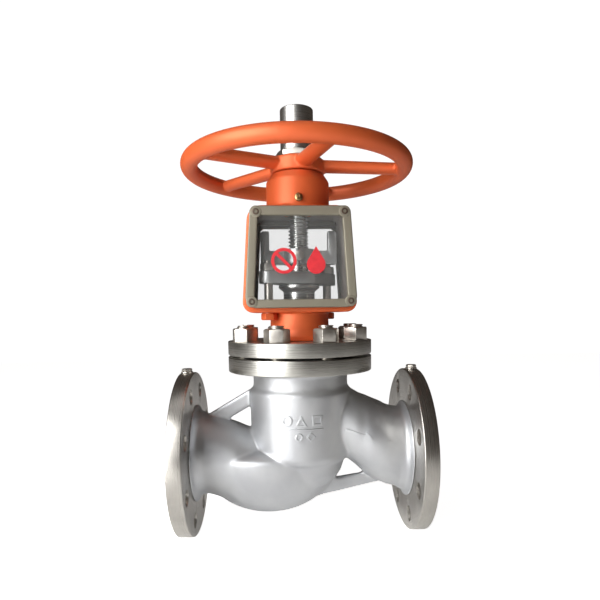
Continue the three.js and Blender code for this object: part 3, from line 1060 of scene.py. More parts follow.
@dataclass
class Studio:
    """The plain pale floor, the white surroundings and the soft lights."""

    floor_half: float = 3.0
    floor_lift: float = 0.95
    floor_bounce: float = 0.25
    aim: Colour = (0.0, 0.0, 0.15)
    lamps: list[Lamp] = field(
        default_factory=lambda: [
            Lamp("key_light", (-0.92, -0.88, 0.52), (1.0, 1.4), 29.0),
            Lamp("front_fill", (-0.45, -1.5, 0.45), (0.6, 0.6), 0.6),
            Lamp("top_light", (-0.3, -0.2, 1.5), (0.7, 0.7), 1.0),
        ]
    )

    def build(self) -> None:
        """Makes the floor, the surroundings and the lights."""
        bpy.context.scene.view_settings.view_transform = "Standard"
        self._floor()
        self._surroundings()
        for lamp in self.lamps:
            lamp.build(Vector(self.aim))

    def _floor(self) -> None:
        """Makes the floor just under the two end flanges."""
        low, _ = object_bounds()
        half = self.floor_half / MM
        outline = [(-half, -half), (half, -half), (half, half), (-half, half)]
        top = low[2] / MM - 0.1
        floor = prism("floor", outline, top - 20, top)
        material = Finish(
            "pale_floor",
            (0.90, 0.895, 0.88),
            (0.86, 0.855, 0.84),
            smooth=0.55,
            rough=0.7,
            patch_scale=3.0,
            grain_scale=260.0,
        ).make()
        self._whiten(material.node_tree)
        floor.data.materials.append(material)
        floor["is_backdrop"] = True

    def _whiten(self, tree: bpy.types.NodeTree) -> None:
        """Lifts the floor to white where it is seen, and leaves its bounced light dim.

        Args:
            tree: the floor material's node tree.
        """
        ray = tree.nodes.new("ShaderNodeLightPath")
        lift = tree.nodes.new("ShaderNodeMapRange")
        lift.inputs["To Min"].default_value = self.floor_bounce
        lift.inputs["To Max"].default_value = self.floor_lift
        tree.links.new(ray.outputs["Is Camera Ray"], lift.inputs["Value"])
        tree.links.new(lift.outputs["Result"], tree.nodes["Principled BSDF"].inputs["Emission Strength"])

    def _surroundings(self) -> None:
        """Lights the scene from a white surround that reflects as a dim room with a dark ceiling."""
        world = bpy.data.worlds.new("surroundings")
        bpy.context.scene.world = world
        world.use_nodes = True
        tree = world.node_tree
        tree.nodes.clear()
        out = tree.nodes.new("ShaderNodeOutputWorld")
        white = tree.nodes.new("ShaderNodeBackground")
        room = tree.nodes.new("ShaderNodeBackground")
        pick = tree.nodes.new("ShaderNodeMixShader")
        ray = tree.nodes.new("ShaderNodeLightPath")
        ramp = tree.nodes.new("ShaderNodeValToRGB")
        place = tree.nodes.new("ShaderNodeTexCoord")
        parts = tree.nodes.new("ShaderNodeSeparateXYZ")
        spread = tree.nodes.new("ShaderNodeMapRange")
        white.inputs["Color"].default_value = (1.0, 1.0, 1.0, 1.0)
        white.inputs["Strength"].default_value = 1.05
        spread.inputs["From Min"].default_value = -1.0
        stops = ramp.color_ramp.elements
        stops[0].position, stops[0].color = 0.0, (0.10, 0.075, 0.06, 1.0)
        stops[1].position, stops[1].color = 1.0, (0.04, 0.032, 0.026, 1.0)
        middle = stops.new(0.5)
        middle.color = (0.06, 0.05, 0.042, 1.0)
        tree.links.new(place.outputs["Generated"], parts.inputs["Vector"])
        tree.links.new(parts.outputs["Z"], spread.inputs["Value"])
        tree.links.new(spread.outputs["Result"], ramp.inputs["Fac"])
        tree.links.new(ramp.outputs["Color"], room.inputs["Color"])
        tree.links.new(ray.outputs["Is Camera Ray"], pick.inputs["Fac"])
        tree.links.new(room.outputs["Background"], pick.inputs[1])
        tree.links.new(white.outputs["Background"], pick.inputs[2])
        tree.links.new(pick.outputs["Shader"], out.inputs["Surface"])


# ---- Body ----
@dataclass
class BodyCasting:
    """The cast body with its two pipe flanges and the flange under the bonnet."""

    neck: float = 59.0
    bore: float = 50.0
    trunk: float = 73.0
    throat: float = 68.0
    shoulder: float = 91.0
    chamber: float = 59.0
    rib: float = 9.0
    bulb_place: Point = (-45.8, -3.0)
    bulb_reach: Corner = (103.6, 68.0, 86.2)
    bulb_rise: float = 20.0
    bulb_wall: float = 11.0
    flange_radius: float = 117.5
    flange_back: float = 152.0
    flange_front: float = 172.0
    raised_face: float = 81.0
    face: float = 175.0
    bolt_circle: float = 95.0
    bolt_hole: float = 11.0
    mark_height: float = 1.3

    inlet_line: list[Corner] = field(
        default_factory=lambda: [
            (-156, 0, 59),
            (-135, -1, 57.7),
            (-116, -6.8, 58),
            (-104.5, -11.1, 58.7),
            (-92.5, -16.9, 60),
            (-80, -22.5, 60),
            (-60, -29, 59),
            (-28, -32, 54),
        ]
    )
    outlet_line: list[Corner] = field(
        default_factory=lambda: [
            (40, 45, 50),
            (60, 43, 52),
            (75, 35.1, 54.5),
            (85, 27.6, 56.1),
            (95, 21.4, 58.5),
            (105, 15.7, 59.6),
            (116, 10.8, 59.9),
            (129, 5.2, 59.1),
            (156, 0, 59),
        ]
    )
    inlet_way: list[Corner] = field(
        default_factory=lambda: [
            (-178, 0, 50),
            (-150, 0, 50),
            (-125, -4, 50),
            (-100, -14, 46),
            (-80, -25, 41),
            (-60, -36, 36),
        ]
    )
    outlet_way: list[Corner] = field(
        default_factory=lambda: [
            (30, 55, 38),
            (60, 52, 38),
            (80, 34, 40),
            (98, 20.5, 43.5),
            (116, 10, 47.5),
            (135, 3, 50),
            (158, 0, 50),
            (185, 0, 50),
        ]
    )
    inlet_rib: list[Corner] = field(
        default_factory=lambda: [
            (-142, 45, 0),
            (-134, 57, 0),
            (-70, 94, 0),
            (-60, 94, 0),
            (-60, 67, 0),
            (-74, 67, 6),
            (-102, 51, 8),
            (-108, 40, 0),
        ]
    )
    outlet_rib: list[Corner] = field(
        default_factory=lambda: [
            (20, -72, 0),
            (31, -68, 0),
            (54, -63.5, 0),
            (90, -55.5, 0),
            (126, -48, 0),
            (120, -35, 0),
            (88, -37, 6),
            (47, -43, 0),
            (30, -40, 0),
        ]
    )

    def build(self) -> None:
        """Makes the casting, its machined flanges and the raised marks."""
        casting = combined(self._outside(), Boolean.CUT, *self._ways())
        cast(casting, voxel=1.7, rounds=14)
        shade(casting, 60)
        finished(casting, BODY, "cast_stainless", CAST_STEEL, "valve_body")
        for name, turn in (("inlet_flange", 180), ("outlet_flange", 0)):
            flange = turned(self._end_flange(name), turn)
            finished(shade(flange), BODY, "machined_steel", FLANGE_STEEL, "valve_body")
        finished(shade(self._joint_flange()), BODY, "machined_steel", JOINT_STEEL, "valve_body")
        for mark in self._marks():
            finished(shade(mark), BODY, "cast_stainless", CAST_STEEL, "valve_body")

    def _bulb(self, name: str, shrink: float) -> bpy.types.Object:
        """Makes the rounded bowl under the seat, deep below its widest level and flat above it.

        Args:
            name: the object's name.
            shrink: how far it is drawn in.

        Returns:
            The bowl; the drawn-in one is cut off flat under the seat.
        """
        long, wide, deep = (reach - shrink for reach in self.bulb_reach)
        rise = self.bulb_rise - shrink
        unit, quarter = 100, 18
        profile = []
        for step in range(2 * quarter + 1):
            angle = math.radians(-90 + 5 * step)
            high = math.sin(angle) * (deep if step < quarter else rise)
            profile.append((max(math.cos(angle), 0.0) * unit, high))
        ball = lathe(name, profile, 96)
        moved(ball, Matrix.Diagonal((long / unit, wide / unit, 1.0, 1.0)))
        shifted(ball, self.bulb_place[0], 0, self.bulb_place[1])
        return ball if shrink == 0 else combined(ball, Boolean.KEEP, rod("block", 200, -200, 3))

    def _outside(self) -> bpy.types.Object:
        """Makes the outer shape of the casting as one solid."""
        trunk = lathe(
            "body_casting",
            soften(
                [
                    (0, -42, 0),
                    (self.trunk - 25, -42, 0),
                    (self.trunk - 15, -27, 0),
                    (self.trunk - 9, -9, 4),
                    (self.trunk - 3, -4, 3),
                    (self.trunk, 2, 4),
                    (self.trunk, self.shoulder, 5),
                    (self.throat, self.shoulder + 6, 6),
                    (self.throat, 116, 5),
                    (self.throat + 7, 121, 0),
                    (0, 121, 0),
                ],
                closed=False,
            ),
        )
        foot, flare = 139, 11
        hub = [(0, foot), (self.neck, foot)]
        for step in range(7):
            angle = math.radians(15 * step)
            hub.append((self.neck + flare * (1 - math.cos(angle)), foot + flare * math.sin(angle)))
        hub += [(self.neck + 12, self.flange_back + 0.5), (0, self.flange_back + 0.5)]
        parts = [
            bent_pipe("inlet_neck", self.inlet_line, upright=True),
            bent_pipe("outlet_neck", self.outlet_line, upright=True),
            self._bulb("bulb", 0),
            turned(lathe("outlet_hub", hub), 90, "Y"),
            turned(lathe("inlet_hub", hub), -90, "Y"),
            plate("inlet_rib", soften(self.inlet_rib), -self.rib / 2, self.rib / 2),
            plate("outlet_rib", soften(self.outlet_rib), -self.rib / 2, self.rib / 2),
        ]
        return combined(trunk, Boolean.JOIN, *parts)

    def _ways(self) -> list[bpy.types.Object]:
        """Makes the flow path as solids to be cut out."""
        return [
            bent_pipe("inlet_way", self.inlet_way),
            bent_pipe("outlet_way", self.outlet_way),
            self._bulb("bowl", self.bulb_wall),
            rod("throat", 46, 2, 9),
            rod("seat_pocket", 56.3, 8, 15),
            rod("chamber", self.chamber, 14, 123),
        ]

    def _end_flange(self, name: str) -> bpy.types.Object:
        """Makes one pipe flange, standing at the outlet.

        Args:
            name: the object's name.

        Returns:
            The flange.
        """
        profile = soften(
            [
                (self.bore, self.flange_back, 0),
                (self.flange_radius, self.flange_back, 1.6),
                (self.flange_radius, self.flange_front, 1.6),
                (self.raised_face, self.flange_front, 0.8),
                (self.raised_face, self.face, 0.6),
                (self.bore, self.face, 1.5),
            ]
        )
        disc = lathe(name, profile, 160, closed=True)
        holes = [
            shifted(rod("hole", self.bolt_hole, self.flange_back - 5, self.face + 5), x, y)
            for x, y in around(8, self.bolt_circle, 22.5)
        ]
        return turned(eased(combined(disc, Boolean.CUT, *holes), 0.6), 90, "Y")

    def _joint_flange(self) -> bpy.types.Object:
        """Makes the round flange that the bonnet is bolted to."""
        low, high, radius = 120.0, 140.5, 102.5
        profile = [(self.chamber, low, 0), (radius, low, 1), (radius, high, 1), (self.chamber, high, 0.5)]
        return lathe("body_joint_flange", soften(profile), 192, closed=True)

    def _marks(self) -> list[bpy.types.Object]:
        """Makes the raised foundry signs and the flow arrow."""
        rise = self.mark_height
        on_trunk = {
            "foundry_ring": self._disc_outline(-21, 58, 7.4),
            "foundry_triangle": [(-10, 50.5), (6, 50.5), (-2, 65)],
            "foundry_square": [(13, 51), (27, 51), (27, 65), (13, 65)],
            "foundry_line": [(-28, 45.6), (28, 45.6), (28, 47.2), (-28, 47.2)],
            "foundry_disc": self._disc_outline(-5, 36, 5.6),
            "foundry_diamond": [(4, 36), (11, 29.5), (18, 36), (11, 42.5)],
        }
        hollows = {
            "foundry_ring": self._disc_outline(-21, 58, 4.4),
            "foundry_triangle": [(-6, 53), (2, 53), (-2, 60)],
            "foundry_square": [(16, 54), (24, 54), (24, 62), (16, 62)],
            "foundry_disc": self._disc_outline(-5, 36, 3.0),
            "foundry_diamond": [(7.5, 36), (11, 32.7), (14.5, 36), (11, 39.3)],
        }
        made = []
        for name, outline in on_trunk.items():
            face = self.trunk + rise
            shell = lathe(name, [(0, 25), (face, 25), (face, 75), (0, 75)], 192)
            mark = combined(shell, Boolean.KEEP, plate("trim", outline, FAR_FRONT, -60))
            if name in hollows:
                combined(mark, Boolean.CUT, plate("hollow", hollows[name], FAR_FRONT, -40))
            made.append(eased(mark, 0.4))
        arrow = soften(
            [
                (58, 37, 2),
                (85, 29, 0.5),
                (84, 25, 1),
                (98.5, 27.5, 1),
                (88, 37.5, 1),
                (86.5, 33.5, 0.5),
                (60, 42, 2),
            ]
        )
        grown = [(x, z, radius + rise) for x, z, radius in self.outlet_line]
        flow = bent_pipe("flow_arrow", grown, upright=True)
        made.append(eased(combined(flow, Boolean.KEEP, plate("trim", arrow, FAR_FRONT, -30)), 0.4))
        grown = [(x, z, radius + rise * 0.8) for x, z, radius in self.inlet_line]
        ring = bent_pipe("foundry_dot", grown, upright=True)
        outline = self._disc_outline(-76.6, -12, 4.6)
        combined(ring, Boolean.KEEP, plate("trim", outline, FAR_FRONT, -30))
        combined(ring, Boolean.CUT, plate("hole", self._disc_outline(-76.6, -12, 2.4), FAR_FRONT, -30))
        made.append(ring)
        return made

    def _disc_outline(self, x: float, z: float, radius: float) -> list[Point]:
        """Gives a round outline.

        Args:
            x: its middle along X.
            z: its middle along Z.
            radius: its radius.

        Returns:
            The points.
        """
        return [(x + dx, z + dz) for dx, dz in around(40, radius)]


# ---- Bonnet joint ----
@dataclass
class BonnetJoint:
    """The bonnet's steel flange and the eight studs and nuts that hold it down."""

    count: int = 8
    circle: float = 83.0
    stud: float = 10.0
    pitch: float = 2.5
    flats: float = 30.0
    radius: float = 102.5
    low: float = 143.5
    high: float = 162.5
    spigot: float = 58.6
    spigot_low: float = 136.3
    inner: float = 23.0
    nut_turn: float = 13.0

    def build(self) -> None:
        """Makes the flange, the studs and the nuts."""
        profile = soften(
            [
                (self.inner, self.spigot_low, 0.5),
                (self.spigot, self.spigot_low, 1),
                (self.spigot, self.low, 0.3),
                (self.radius, self.low, 1),
                (self.radius, self.high, 1),
                (self.inner, self.high, 0.5),
            ]
        )
        flange = lathe("bonnet_flange", profile, 192, closed=True)
        finished(shade(flange), BODY, "machined_steel", JOINT_STEEL, "bonnet_yoke")
        places = around(self.count, self.circle, 180 / self.count)
        for index, (x, y) in enumerate(places):
            number = index + 1
            low, high = heights(f"bonnet_stud_{number}")
            thread = threaded_rod(f"stud_{number}", self.stud, self.pitch, 1.2, low, high)
            finished(
                shade(shifted(thread, x, y), 50),
                BODY,
                "bright_fasteners",
                FASTENER_STEEL,
                f"bonnet_stud_{number}",
            )
            low, high = heights(f"bonnet_nut_{number}")
            turn = 180 / self.count + self.nut_turn * index
            nut = hexagon(f"nut_{number}", self.flats, low, high, turn)
            combined(nut, Boolean.CUT, rod("hole", self.stud + 0.3, low - 1, high + 1))
            finished(
                shade(shifted(nut, x, y)),
                BODY,
                "bright_fasteners",
                FASTENER_STEEL,
                f"bonnet_nut_{number}",
            )


# ---- Yoke ----
def trapezium(
    low: float, high: float, low_half: float, high_half: float, foot: float, head: float
) -> list[Point]:
    """Gives a symmetrical outline that narrows upwards, with rounded corners.

    Args:
        low: height of its foot.
        high: height of its top.
        low_half: half width at the foot.
        high_half: half width at the top.
        foot: radius of the lower corners.
        head: radius of the upper corners.

    Returns:
        The points.
    """
    corners = [
        (-low_half, low, foot),
        (low_half, low, foot),
        (high_half, high, head),
        (-high_half, high, head),
    ]
    return soften(corners, steps=8)


@dataclass
class YokeCasting:
    """The orange bonnet casting: its neck, the boxed window and the round bearing boss."""

    base: float = 162.6
    low: float = 201.5
    high: float = 343.5
    low_half: float = 78.4
    high_half: float = 68.2
    half_depth: float = 44.0
    window: tuple[float, float, float, float] = (217.0, 338.0, 65.4, 57.7)
    window_corner: float = 9.0
    neck: float = 41.2
    root: float = 54.0
    boss: float = 44.0
    boss_shoulder: float = 381.0
    boss_high: float = 391.5
    boss_top: float = 37.0
    lobe: float = 6.5

    def build(self) -> None:
        """Makes the casting and paints its inside grey."""
        casting = combined(self._outside(), Boolean.CUT, *self._hollows())
        cast(casting, voxel=1.4, rounds=8)
        finished(shade(casting, 60), BODY, "orange_paint", ORANGE_PAINT, "bonnet_yoke")
        casting.data.materials.append(INSIDE_PAINT.make())
        low, high, low_half, high_half = self.window
        for face in casting.data.polygons:
            x, y, z = face.center / MM
            share = (z - low) / (high - low)
            half = low_half + (high_half - low_half) * share
            if low - 1 < z < high + 1 and abs(x) < half + 1 and abs(y) < self.half_depth - 0.8:
                face.material_index = 1

    def _outside(self) -> bpy.types.Object:
        """Makes the outer shape of the casting as one solid."""
        neck = lathe(
            "yoke_casting",
            soften(
                [
                    (0, self.base, 0),
                    (self.root, self.base, 0),
                    (self.neck + 5, self.base + 5, 3),
                    (self.neck + 1, self.base + 14, 8),
                    (self.neck, self.low + 2, 0),
                    (0, self.low + 2, 0),
                ],
                closed=False,
            ),
        )
        half = self.half_depth
        box = plate(
            "box",
            trapezium(self.low, self.high, self.low_half, self.high_half, 14, 20),
            -half,
            half,
        )
        boss = lathe(
            "boss",
            soften(
                [
                    (0, self.high - 5, 0),
                    (self.boss, self.high - 5, 0),
                    (self.boss, self.boss_shoulder, 3),
                    (self.boss_top, self.boss_high, 1.5),
                    (0, self.boss_high, 0),
                ],
                closed=False,
            ),
        )
        return combined(neck, Boolean.JOIN, box, boss)

    def _hollows(self) -> list[bpy.types.Object]:
        """Makes the window, the stuffing box and the bearing seat as solids to be cut out."""
        low, high, low_half, high_half = self.window
        corner = self.window_corner
        half = self.half_depth + 5
        return [
            plate("window", trapezium(low, high, low_half, high_half, corner, corner), -half, half),
            rod("stuffing_box", 22.7, self.base - 5, low + 2),
            rod("nut_bore", 20.4, high - 2, 352),
            rod("bearing_seat", 31.2, 350, self.boss_high + 5),
        ]


# ---- Covers ----
@dataclass
class Cover:
    """One grey frame with its clear sheet and four screws, in front of or behind the yoke."""

    name: str
    side: int
    low: float = 207.7
    high: float = 340.3
    low_half: float = 75.5
    high_half: float = 65.9
    front: float = 56.0
    back: float = 44.3
    opening: tuple[float, float, float, float] = (219.0, 328.0, 62.2, 55.3)
    margin: float = 4.0
    sheet: float = 2.9
    pad: float = 7.6
    pad_rise: float = 0.9
    head: float = 4.3
    socket: float = 2.3
    slip: float = 0.0

    def build(self) -> None:
        """Makes the frame, the sheet and the screws."""
        frame = self._frame()
        finished(
            shade(self._facing(frame)), BODY, "grey_paint", GREY_PAINT, f"{self.name}_cover_frame"
        )
        finished(
            shade(self._facing(self._sheet())),
            BODY,
            "clear_acrylic",
            CLEAR_SHEET,
            f"{self.name}_window",
        )
        for number in range(1, 5):
            node = f"{self.name}_cover_screw_{number}"
            middle = centre(node)
            screw = self._screw(f"{self.name}_screw_{number}")
            self._facing(screw)
            shifted(screw, middle.x, 0, middle.z)
            # The screws take the dark finish, which is partly painted shade for their recesses.
            finished(shade(screw), BODY, "bright_fasteners", SCREW_STEEL, node)

    def _facing(self, obj: bpy.types.Object) -> bpy.types.Object:
        """Puts a piece made for the front cover at this cover's own side and sideways play.

        Args:
            obj: the piece.

        Returns:
            The same piece.
        """
        return shifted(obj if self.side < 0 else turned(obj, 180), self.slip, 0)

    def _opening_outline(self, margin: float, corner: float) -> list[Point]:
        """Gives the opening's outline, grown by a margin.

        Args:
            margin: how far it is grown.
            corner: radius of its corners.

        Returns:
            The points.
        """
        low, high, low_half, high_half = self.opening
        return trapezium(
            low - margin, high + margin, low_half + margin, high_half + margin, corner, corner
        )

    def _frame(self) -> bpy.types.Object:
        """Makes the frame with a raised pad round each screw."""
        outer = trapezium(self.low, self.high, self.low_half, self.high_half, 15, 9)
        frame = plate(f"{self.name}_frame", outer, -self.front, -self.back)
        combined(frame, Boolean.CUT, plate("opening", self._opening_outline(0, 5), FAR_FRONT, -20))
        eased(frame, 1.6, 3)
        step = -(self.back + self.sheet + 0.6)
        rebate = plate("rebate", self._opening_outline(self.margin + 0.4, 8), step, -20)
        combined(frame, Boolean.CUT, rebate)
        pads = []
        for number in range(1, 5):
            middle = centre(f"front_cover_screw_{number}")
            foot, top = self.front - 8, self.front + self.pad_rise
            corners = [(0, foot, 0), (self.pad, foot, 0), (self.pad, top, 1.2), (0, top, 0)]
            pad = turned(lathe("pad", soften(corners, closed=False), 48), 90, "X")
            pads.append(shifted(pad, middle.x, 0, middle.z))
        return combined(frame, Boolean.JOIN, *pads)

    def _sheet(self) -> bpy.types.Object:
        """Makes the clear sheet."""
        outline = self._opening_outline(self.margin, 8)
        sheet = plate(f"{self.name}_sheet", outline, -self.back - 0.3 - self.sheet, -self.back - 0.3)
        return eased(sheet, 0.3)

    def _screw(self, name: str) -> bpy.types.Object:
        """Makes one socket screw at x = 0, z = 0.

        Args:
            name: the object's name.

        Returns:
            The screw.
        """
        seat, top = self.front + self.pad_rise - 0.4, self.front + self.pad_rise + 0.9
        profile = [
            (0, 30, 0),
            (2.5, 30, 0.4),
            (2.5, seat, 0),
            (self.head, seat, 0.2),
            (self.head, top, 0.9),
            (0, top, 0),
        ]
        screw = lathe(name, soften(profile, closed=False), 40)
        sides = [math.radians(60 * side) for side in range(6)]
        socket = [(self.socket * math.cos(side), self.socket * math.sin(side)) for side in sides]
        combined(screw, Boolean.CUT, prism("socket", socket, seat - 1.2, top + 1))
        return turned(screw, 90, "X")


@dataclass
class PrintedMarks:
    """Two plain red signs printed on the front sheet: a barred ring and a drop."""

    face: float = 47.75
    thick: float = 0.12
    ring_place: Point = (-21.0, 270.0)
    drop_place: Point = (22.0, 268.0)
    outer: float = 17.0
    line: float = 4.2

    def build(self) -> None:
        """Makes both signs."""
        for sign in (self._barred_ring(), self._drop()):
            finished(sign, BODY, "orange_paint", RED_MARK)

    def _barred_ring(self) -> bpy.types.Object:
        """Makes the ring with a bar across it."""
        x, z = self.ring_place
        front, back = -self.face - self.thick, -self.face
        ring = plate("barred_ring_sign", [(x + a, z + b) for a, b in around(64, self.outer)], front, back)
        inside = [(x + a, z + b) for a, b in around(64, self.outer - self.line)]
        combined(ring, Boolean.CUT, plate("inside", inside, FAR_FRONT, 0))
        half, reach = self.line / 2, self.outer - 1
        corners = [(-reach, -half), (reach, -half), (reach, half), (-reach, half)]
        bar = prism("bar", corners, self.face, self.face + self.thick)
        turned(turned(bar, -45), 90, "X")
        return combined(ring, Boolean.JOIN, shifted(bar, x, 0, z))

    def _drop(self) -> bpy.types.Object:
        """Makes the drop."""
        x, z = self.drop_place
        radius = 12.5
        points = [
            (x + radius * math.cos(math.radians(a)), z - 3 + radius * math.sin(math.radians(a)))
            for a in range(-215, 36, 10)
        ]
        points.append((x, z + 21))
        return plate("drop_sign", points, -self.face - self.thick, -self.face)


# ---- Gland ----
@dataclass
class Gland:
    """The follower in the stuffing box, the oval flange over it and its two bolts."""

    turn: float = 36.5
    reach: float = 53.0
    lobe: float = 12.6
    middle: float = 30.0
    low: float = 241.0
    high: float = 258.0
    bolt: float = 6.0
    flats: float = 19.0
    thread_low: float = 246.0

    def build(self) -> None:
        """Makes the follower, the flange, the bolts and the nuts."""
        finished(shade(self._follower()), BODY, "machined_steel", STEM_STEEL, "gland_follower")
        finished(shade(self._flange()), BODY, "bracket_steel", BRACKET_STEEL, "gland_flange")
        places = around(2, self.reach, 180 + self.turn)
        for place, (x, y) in zip(("front", "rear"), places):
            node = f"gland_bolt_{place}"
            low, high = heights(node)
            shank = rod(f"gland_shank_{place}", self.bolt, low + 9, self.thread_low)
            thread = threaded_rod("thread", self.bolt, 1.75, 0.8, self.thread_low - 1, high)
            combined(shank, Boolean.JOIN, thread)
            finished(shade(shifted(shank, x, y), 40), BODY, "bright_fasteners", FASTENER_STEEL, node)
            head = hexagon(f"gland_head_{place}", self.flats, low, low + 9.7, self.turn, both=True)
            finished(shade(shifted(head, x, y)), BODY, "orange_paint", ORANGE_PAINT, node)
            node = f"gland_nut_{place}"
            low, high = heights(node)
            nut = hexagon(f"gland_hex_{place}", self.flats, low, high, self.turn)
            combined(nut, Boolean.CUT, rod("hole", self.bolt + 0.3, low - 1, high + 1))
            finished(shade(shifted(nut, x, y)), BODY, "bright_fasteners", FASTENER_STEEL, node)

    def _follower(self) -> bpy.types.Object:
        """Makes the follower with its flared lip."""
        profile = soften(
            [
                (14.4, 204.8, 0.4),
                (22.2, 204.8, 0.6),
                (22.2, 231, 4),
                (29, 236, 1.2),
                (29, 240.7, 0.8),
                (14.4, 240.7, 0.6),
            ]
        )
        return lathe("gland_follower_sleeve", profile, 96, closed=True)

    def _flange(self) -> bpy.types.Object:
        """Makes the oval flange."""
        tangent = math.acos((self.middle - self.lobe) / self.reach)
        outline = []
        for x, radius, first, last in (
            (self.reach, self.lobe, -tangent, tangent),
            (0, self.middle, tangent, math.pi - tangent),
            (-self.reach, self.lobe, math.pi - tangent, math.pi + tangent),
            (0, self.middle, math.pi + tangent, 2 * math.pi - tangent),
        ):
            for step in range(17):
                angle = first + (last - first) * step / 16
                outline.append((x + radius * math.cos(angle), radius * math.sin(angle)))
        oval = eased(prism("gland_oval", outline, self.low, self.high), 1.4, 3)
        holes = [shifted(rod("hole", self.bolt + 0.5, 230, 270), x, 0) for x in (-self.reach, self.reach)]
        combined(oval, Boolean.CUT, rod("hole", 15, 230, 270), *holes)
        return turned(oval, self.turn)


# ---- Stem ----
@dataclass
class StemLine:
    """The rising stem with its thread, and the bracket that keeps it from turning."""

    radius: float = 14.0
    pitch: float = 5.0
    thread_depth: float = 2.6
    thread_low: float = 291.0

    def build(self) -> None:
        """Makes the stem, the bracket and the clamp bolt."""
        low, high = heights("stem")
        bar = lathe(
            "plain_stem",
            soften(
                [
                    (0, low, 0),
                    (18, low, 1),
                    (18, 34, 0.5),
                    (self.radius, 34.5, 0.5),
                    (self.radius, 104, 2),
                    (18, 107, 0.5),
                    (18, 111, 0.5),
                    (self.radius, 114, 2),
                    (self.radius, self.thread_low, 1),
                    (0, self.thread_low, 0),
                ],
                closed=False,
            ),
        )
        finished(shade(bar), STEM_LINE, "machined_steel", STEM_STEEL, "stem")
        thread = threaded_rod(
            "stem_thread",
            self.radius,
            self.pitch,
            self.thread_depth,
            self.thread_low - 3,
            high,
            left_handed=True,
        )
        finished(shade(thread, 40), STEM_LINE, "machined_steel", STEM_STEEL, "stem")
        finished(shade(self._bracket()), STEM_LINE, "bracket_steel", BRACKET_STEEL, "guide_bracket")
        finished(
            shade(self._clamp_bolt()),
            STEM_LINE,
            "bright_fasteners",
            FASTENER_STEEL,
            "guide_clamp_bolt",
        )

    def _bracket(self) -> bpy.types.Object:
        """Makes the flat bar with its round middle and a prong at each end."""
        low, high, half, wide, tip, cut = 269.5, 288.0, 53.5, 12.0, 315.0, 3.0
        outline = [
            (-half, low, 1.5),
            (half, low, 1.5),
            (half, tip - cut, 1),
            (half - cut, tip, 1),
            (half - wide, tip, 1),
            (half - wide, high, 3),
            (wide - half, high, 3),
            (wide - half, tip, 1),
            (cut - half, tip, 1),
            (-half, tip - cut, 1),
        ]
        bar = eased(plate("guide_bar", soften(outline), -9, 9), 0.7)
        hub = eased(rod("hub", 23, low - 0.01, 290, 72), 0.7)
        combined(bar, Boolean.JOIN, hub)
        slot = plate("slot", [(-1, 260), (1, 260), (1, 300), (-1, 300)], -30, -10)
        return combined(bar, Boolean.CUT, rod("bore", self.radius + 0.3, 260, 300), slot)

    def _clamp_bolt(self) -> bpy.types.Object:
        """Makes the bolt that clamps the bracket to the stem."""
        head = hexagon("clamp_bolt", 13, 25, 31)
        combined(head, Boolean.JOIN, rod("shank", 4, 15, 26))
        return shifted(turned(head, 90, "X"), 0, 0, 279)


# ---- Handwheel ----
@dataclass
class Handwheel:
    """The five-spoke handwheel, its lock nut and the cap over the stem."""

    rim: float = 147.7
    tube: float = 11.4
    height: float = 399.6
    hub: float = 37.8
    hub_low: float = 392.8
    hub_high: float = 413.0
    spokes: int = 5
    first: float = -75.0
    wide: Point = (25.0, 21.0)
    thick: Point = (17.0, 16.0)
    dish: float = 5.0

    def build(self) -> None:
        """Makes the wheel, the lock nut and the cap."""
        finished(shade(self._wheel(), 60), DRIVE, "orange_paint", ORANGE_PAINT, "handwheel")
        low, high = heights("handwheel_nut")
        nut = hexagon("lock_nut", 54, low, high, 20)
        combined(nut, Boolean.CUT, rod("hole", 18.3, low - 1, high + 1))
        finished(shade(nut), DRIVE, "machined_steel", FASTENER_STEEL, "handwheel_nut")
        finished(shade(self._cap()), DRIVE, "cap_steel", CAP_STEEL, "stem_cap")

    def _wheel(self) -> bpy.types.Object:
        """Makes the casting with blended spokes."""
        circle = [
            (self.rim + a, self.height + b) for a, b in around(40, self.tube)
        ]
        wheel = lathe("wheel_casting", circle, 192, closed=True)
        hub = lathe(
            "hub",
            soften(
                [
                    (0, self.hub_low, 0),
                    (self.hub, self.hub_low, 2),
                    (self.hub, self.hub_high, 4),
                    (0, self.hub_high, 0),
                ],
                closed=False,
            ),
        )
        spokes = [
            turned(self._spoke(), self.first + 360 * index / self.spokes)
            for index in range(self.spokes)
        ]
        combined(wheel, Boolean.JOIN, hub, *spokes)
        combined(wheel, Boolean.CUT, rod("bore", 20.3, self.hub_low - 5, self.hub_high + 5))
        return cast(wheel, voxel=1.4, rounds=9)

    def _spoke(self) -> bpy.types.Object:
        """Makes one oval arm along +X."""
        shape = bmesh.new()
        rings = []
        start, steps, facets = 28.0, 12, 32
        for step in range(steps + 1):
            share = step / steps
            x = start + (self.rim - start) * share
            wide = self.wide[0] + (self.wide[1] - self.wide[0]) * share
            thick = self.thick[0] + (self.thick[1] - self.thick[0]) * share
            z = self.height + self.dish * (1 - share)
            ring = []
            for index in range(facets):
                angle = 2 * math.pi * index / facets
                y = wide / 2 * math.cos(angle)
                ring.append(shape.verts.new((x, y, z + thick / 2 * math.sin(angle))))
            rings.append(ring)
        skin(shape, rings, closed=False)
        shape.faces.new(rings[0])
        shape.faces.new(rings[-1])
        return make_object("spoke", shape)

    def _cap(self) -> bpy.types.Object:
        """Makes the tube with its closed top."""
        low, high = heights("stem_cap")
        outer, inner, roof = 23.0, 18.3, 5.0
        profile = [
            (inner, low, 0.5),
            (outer, low, 0.8),
            (outer, high, 1.2),
            (0, high, 0),
            (0, high - roof, 0),
            (inner, high - roof, 2),
        ]
        return lathe("cap_tube", soften(profile), 128, closed=True)


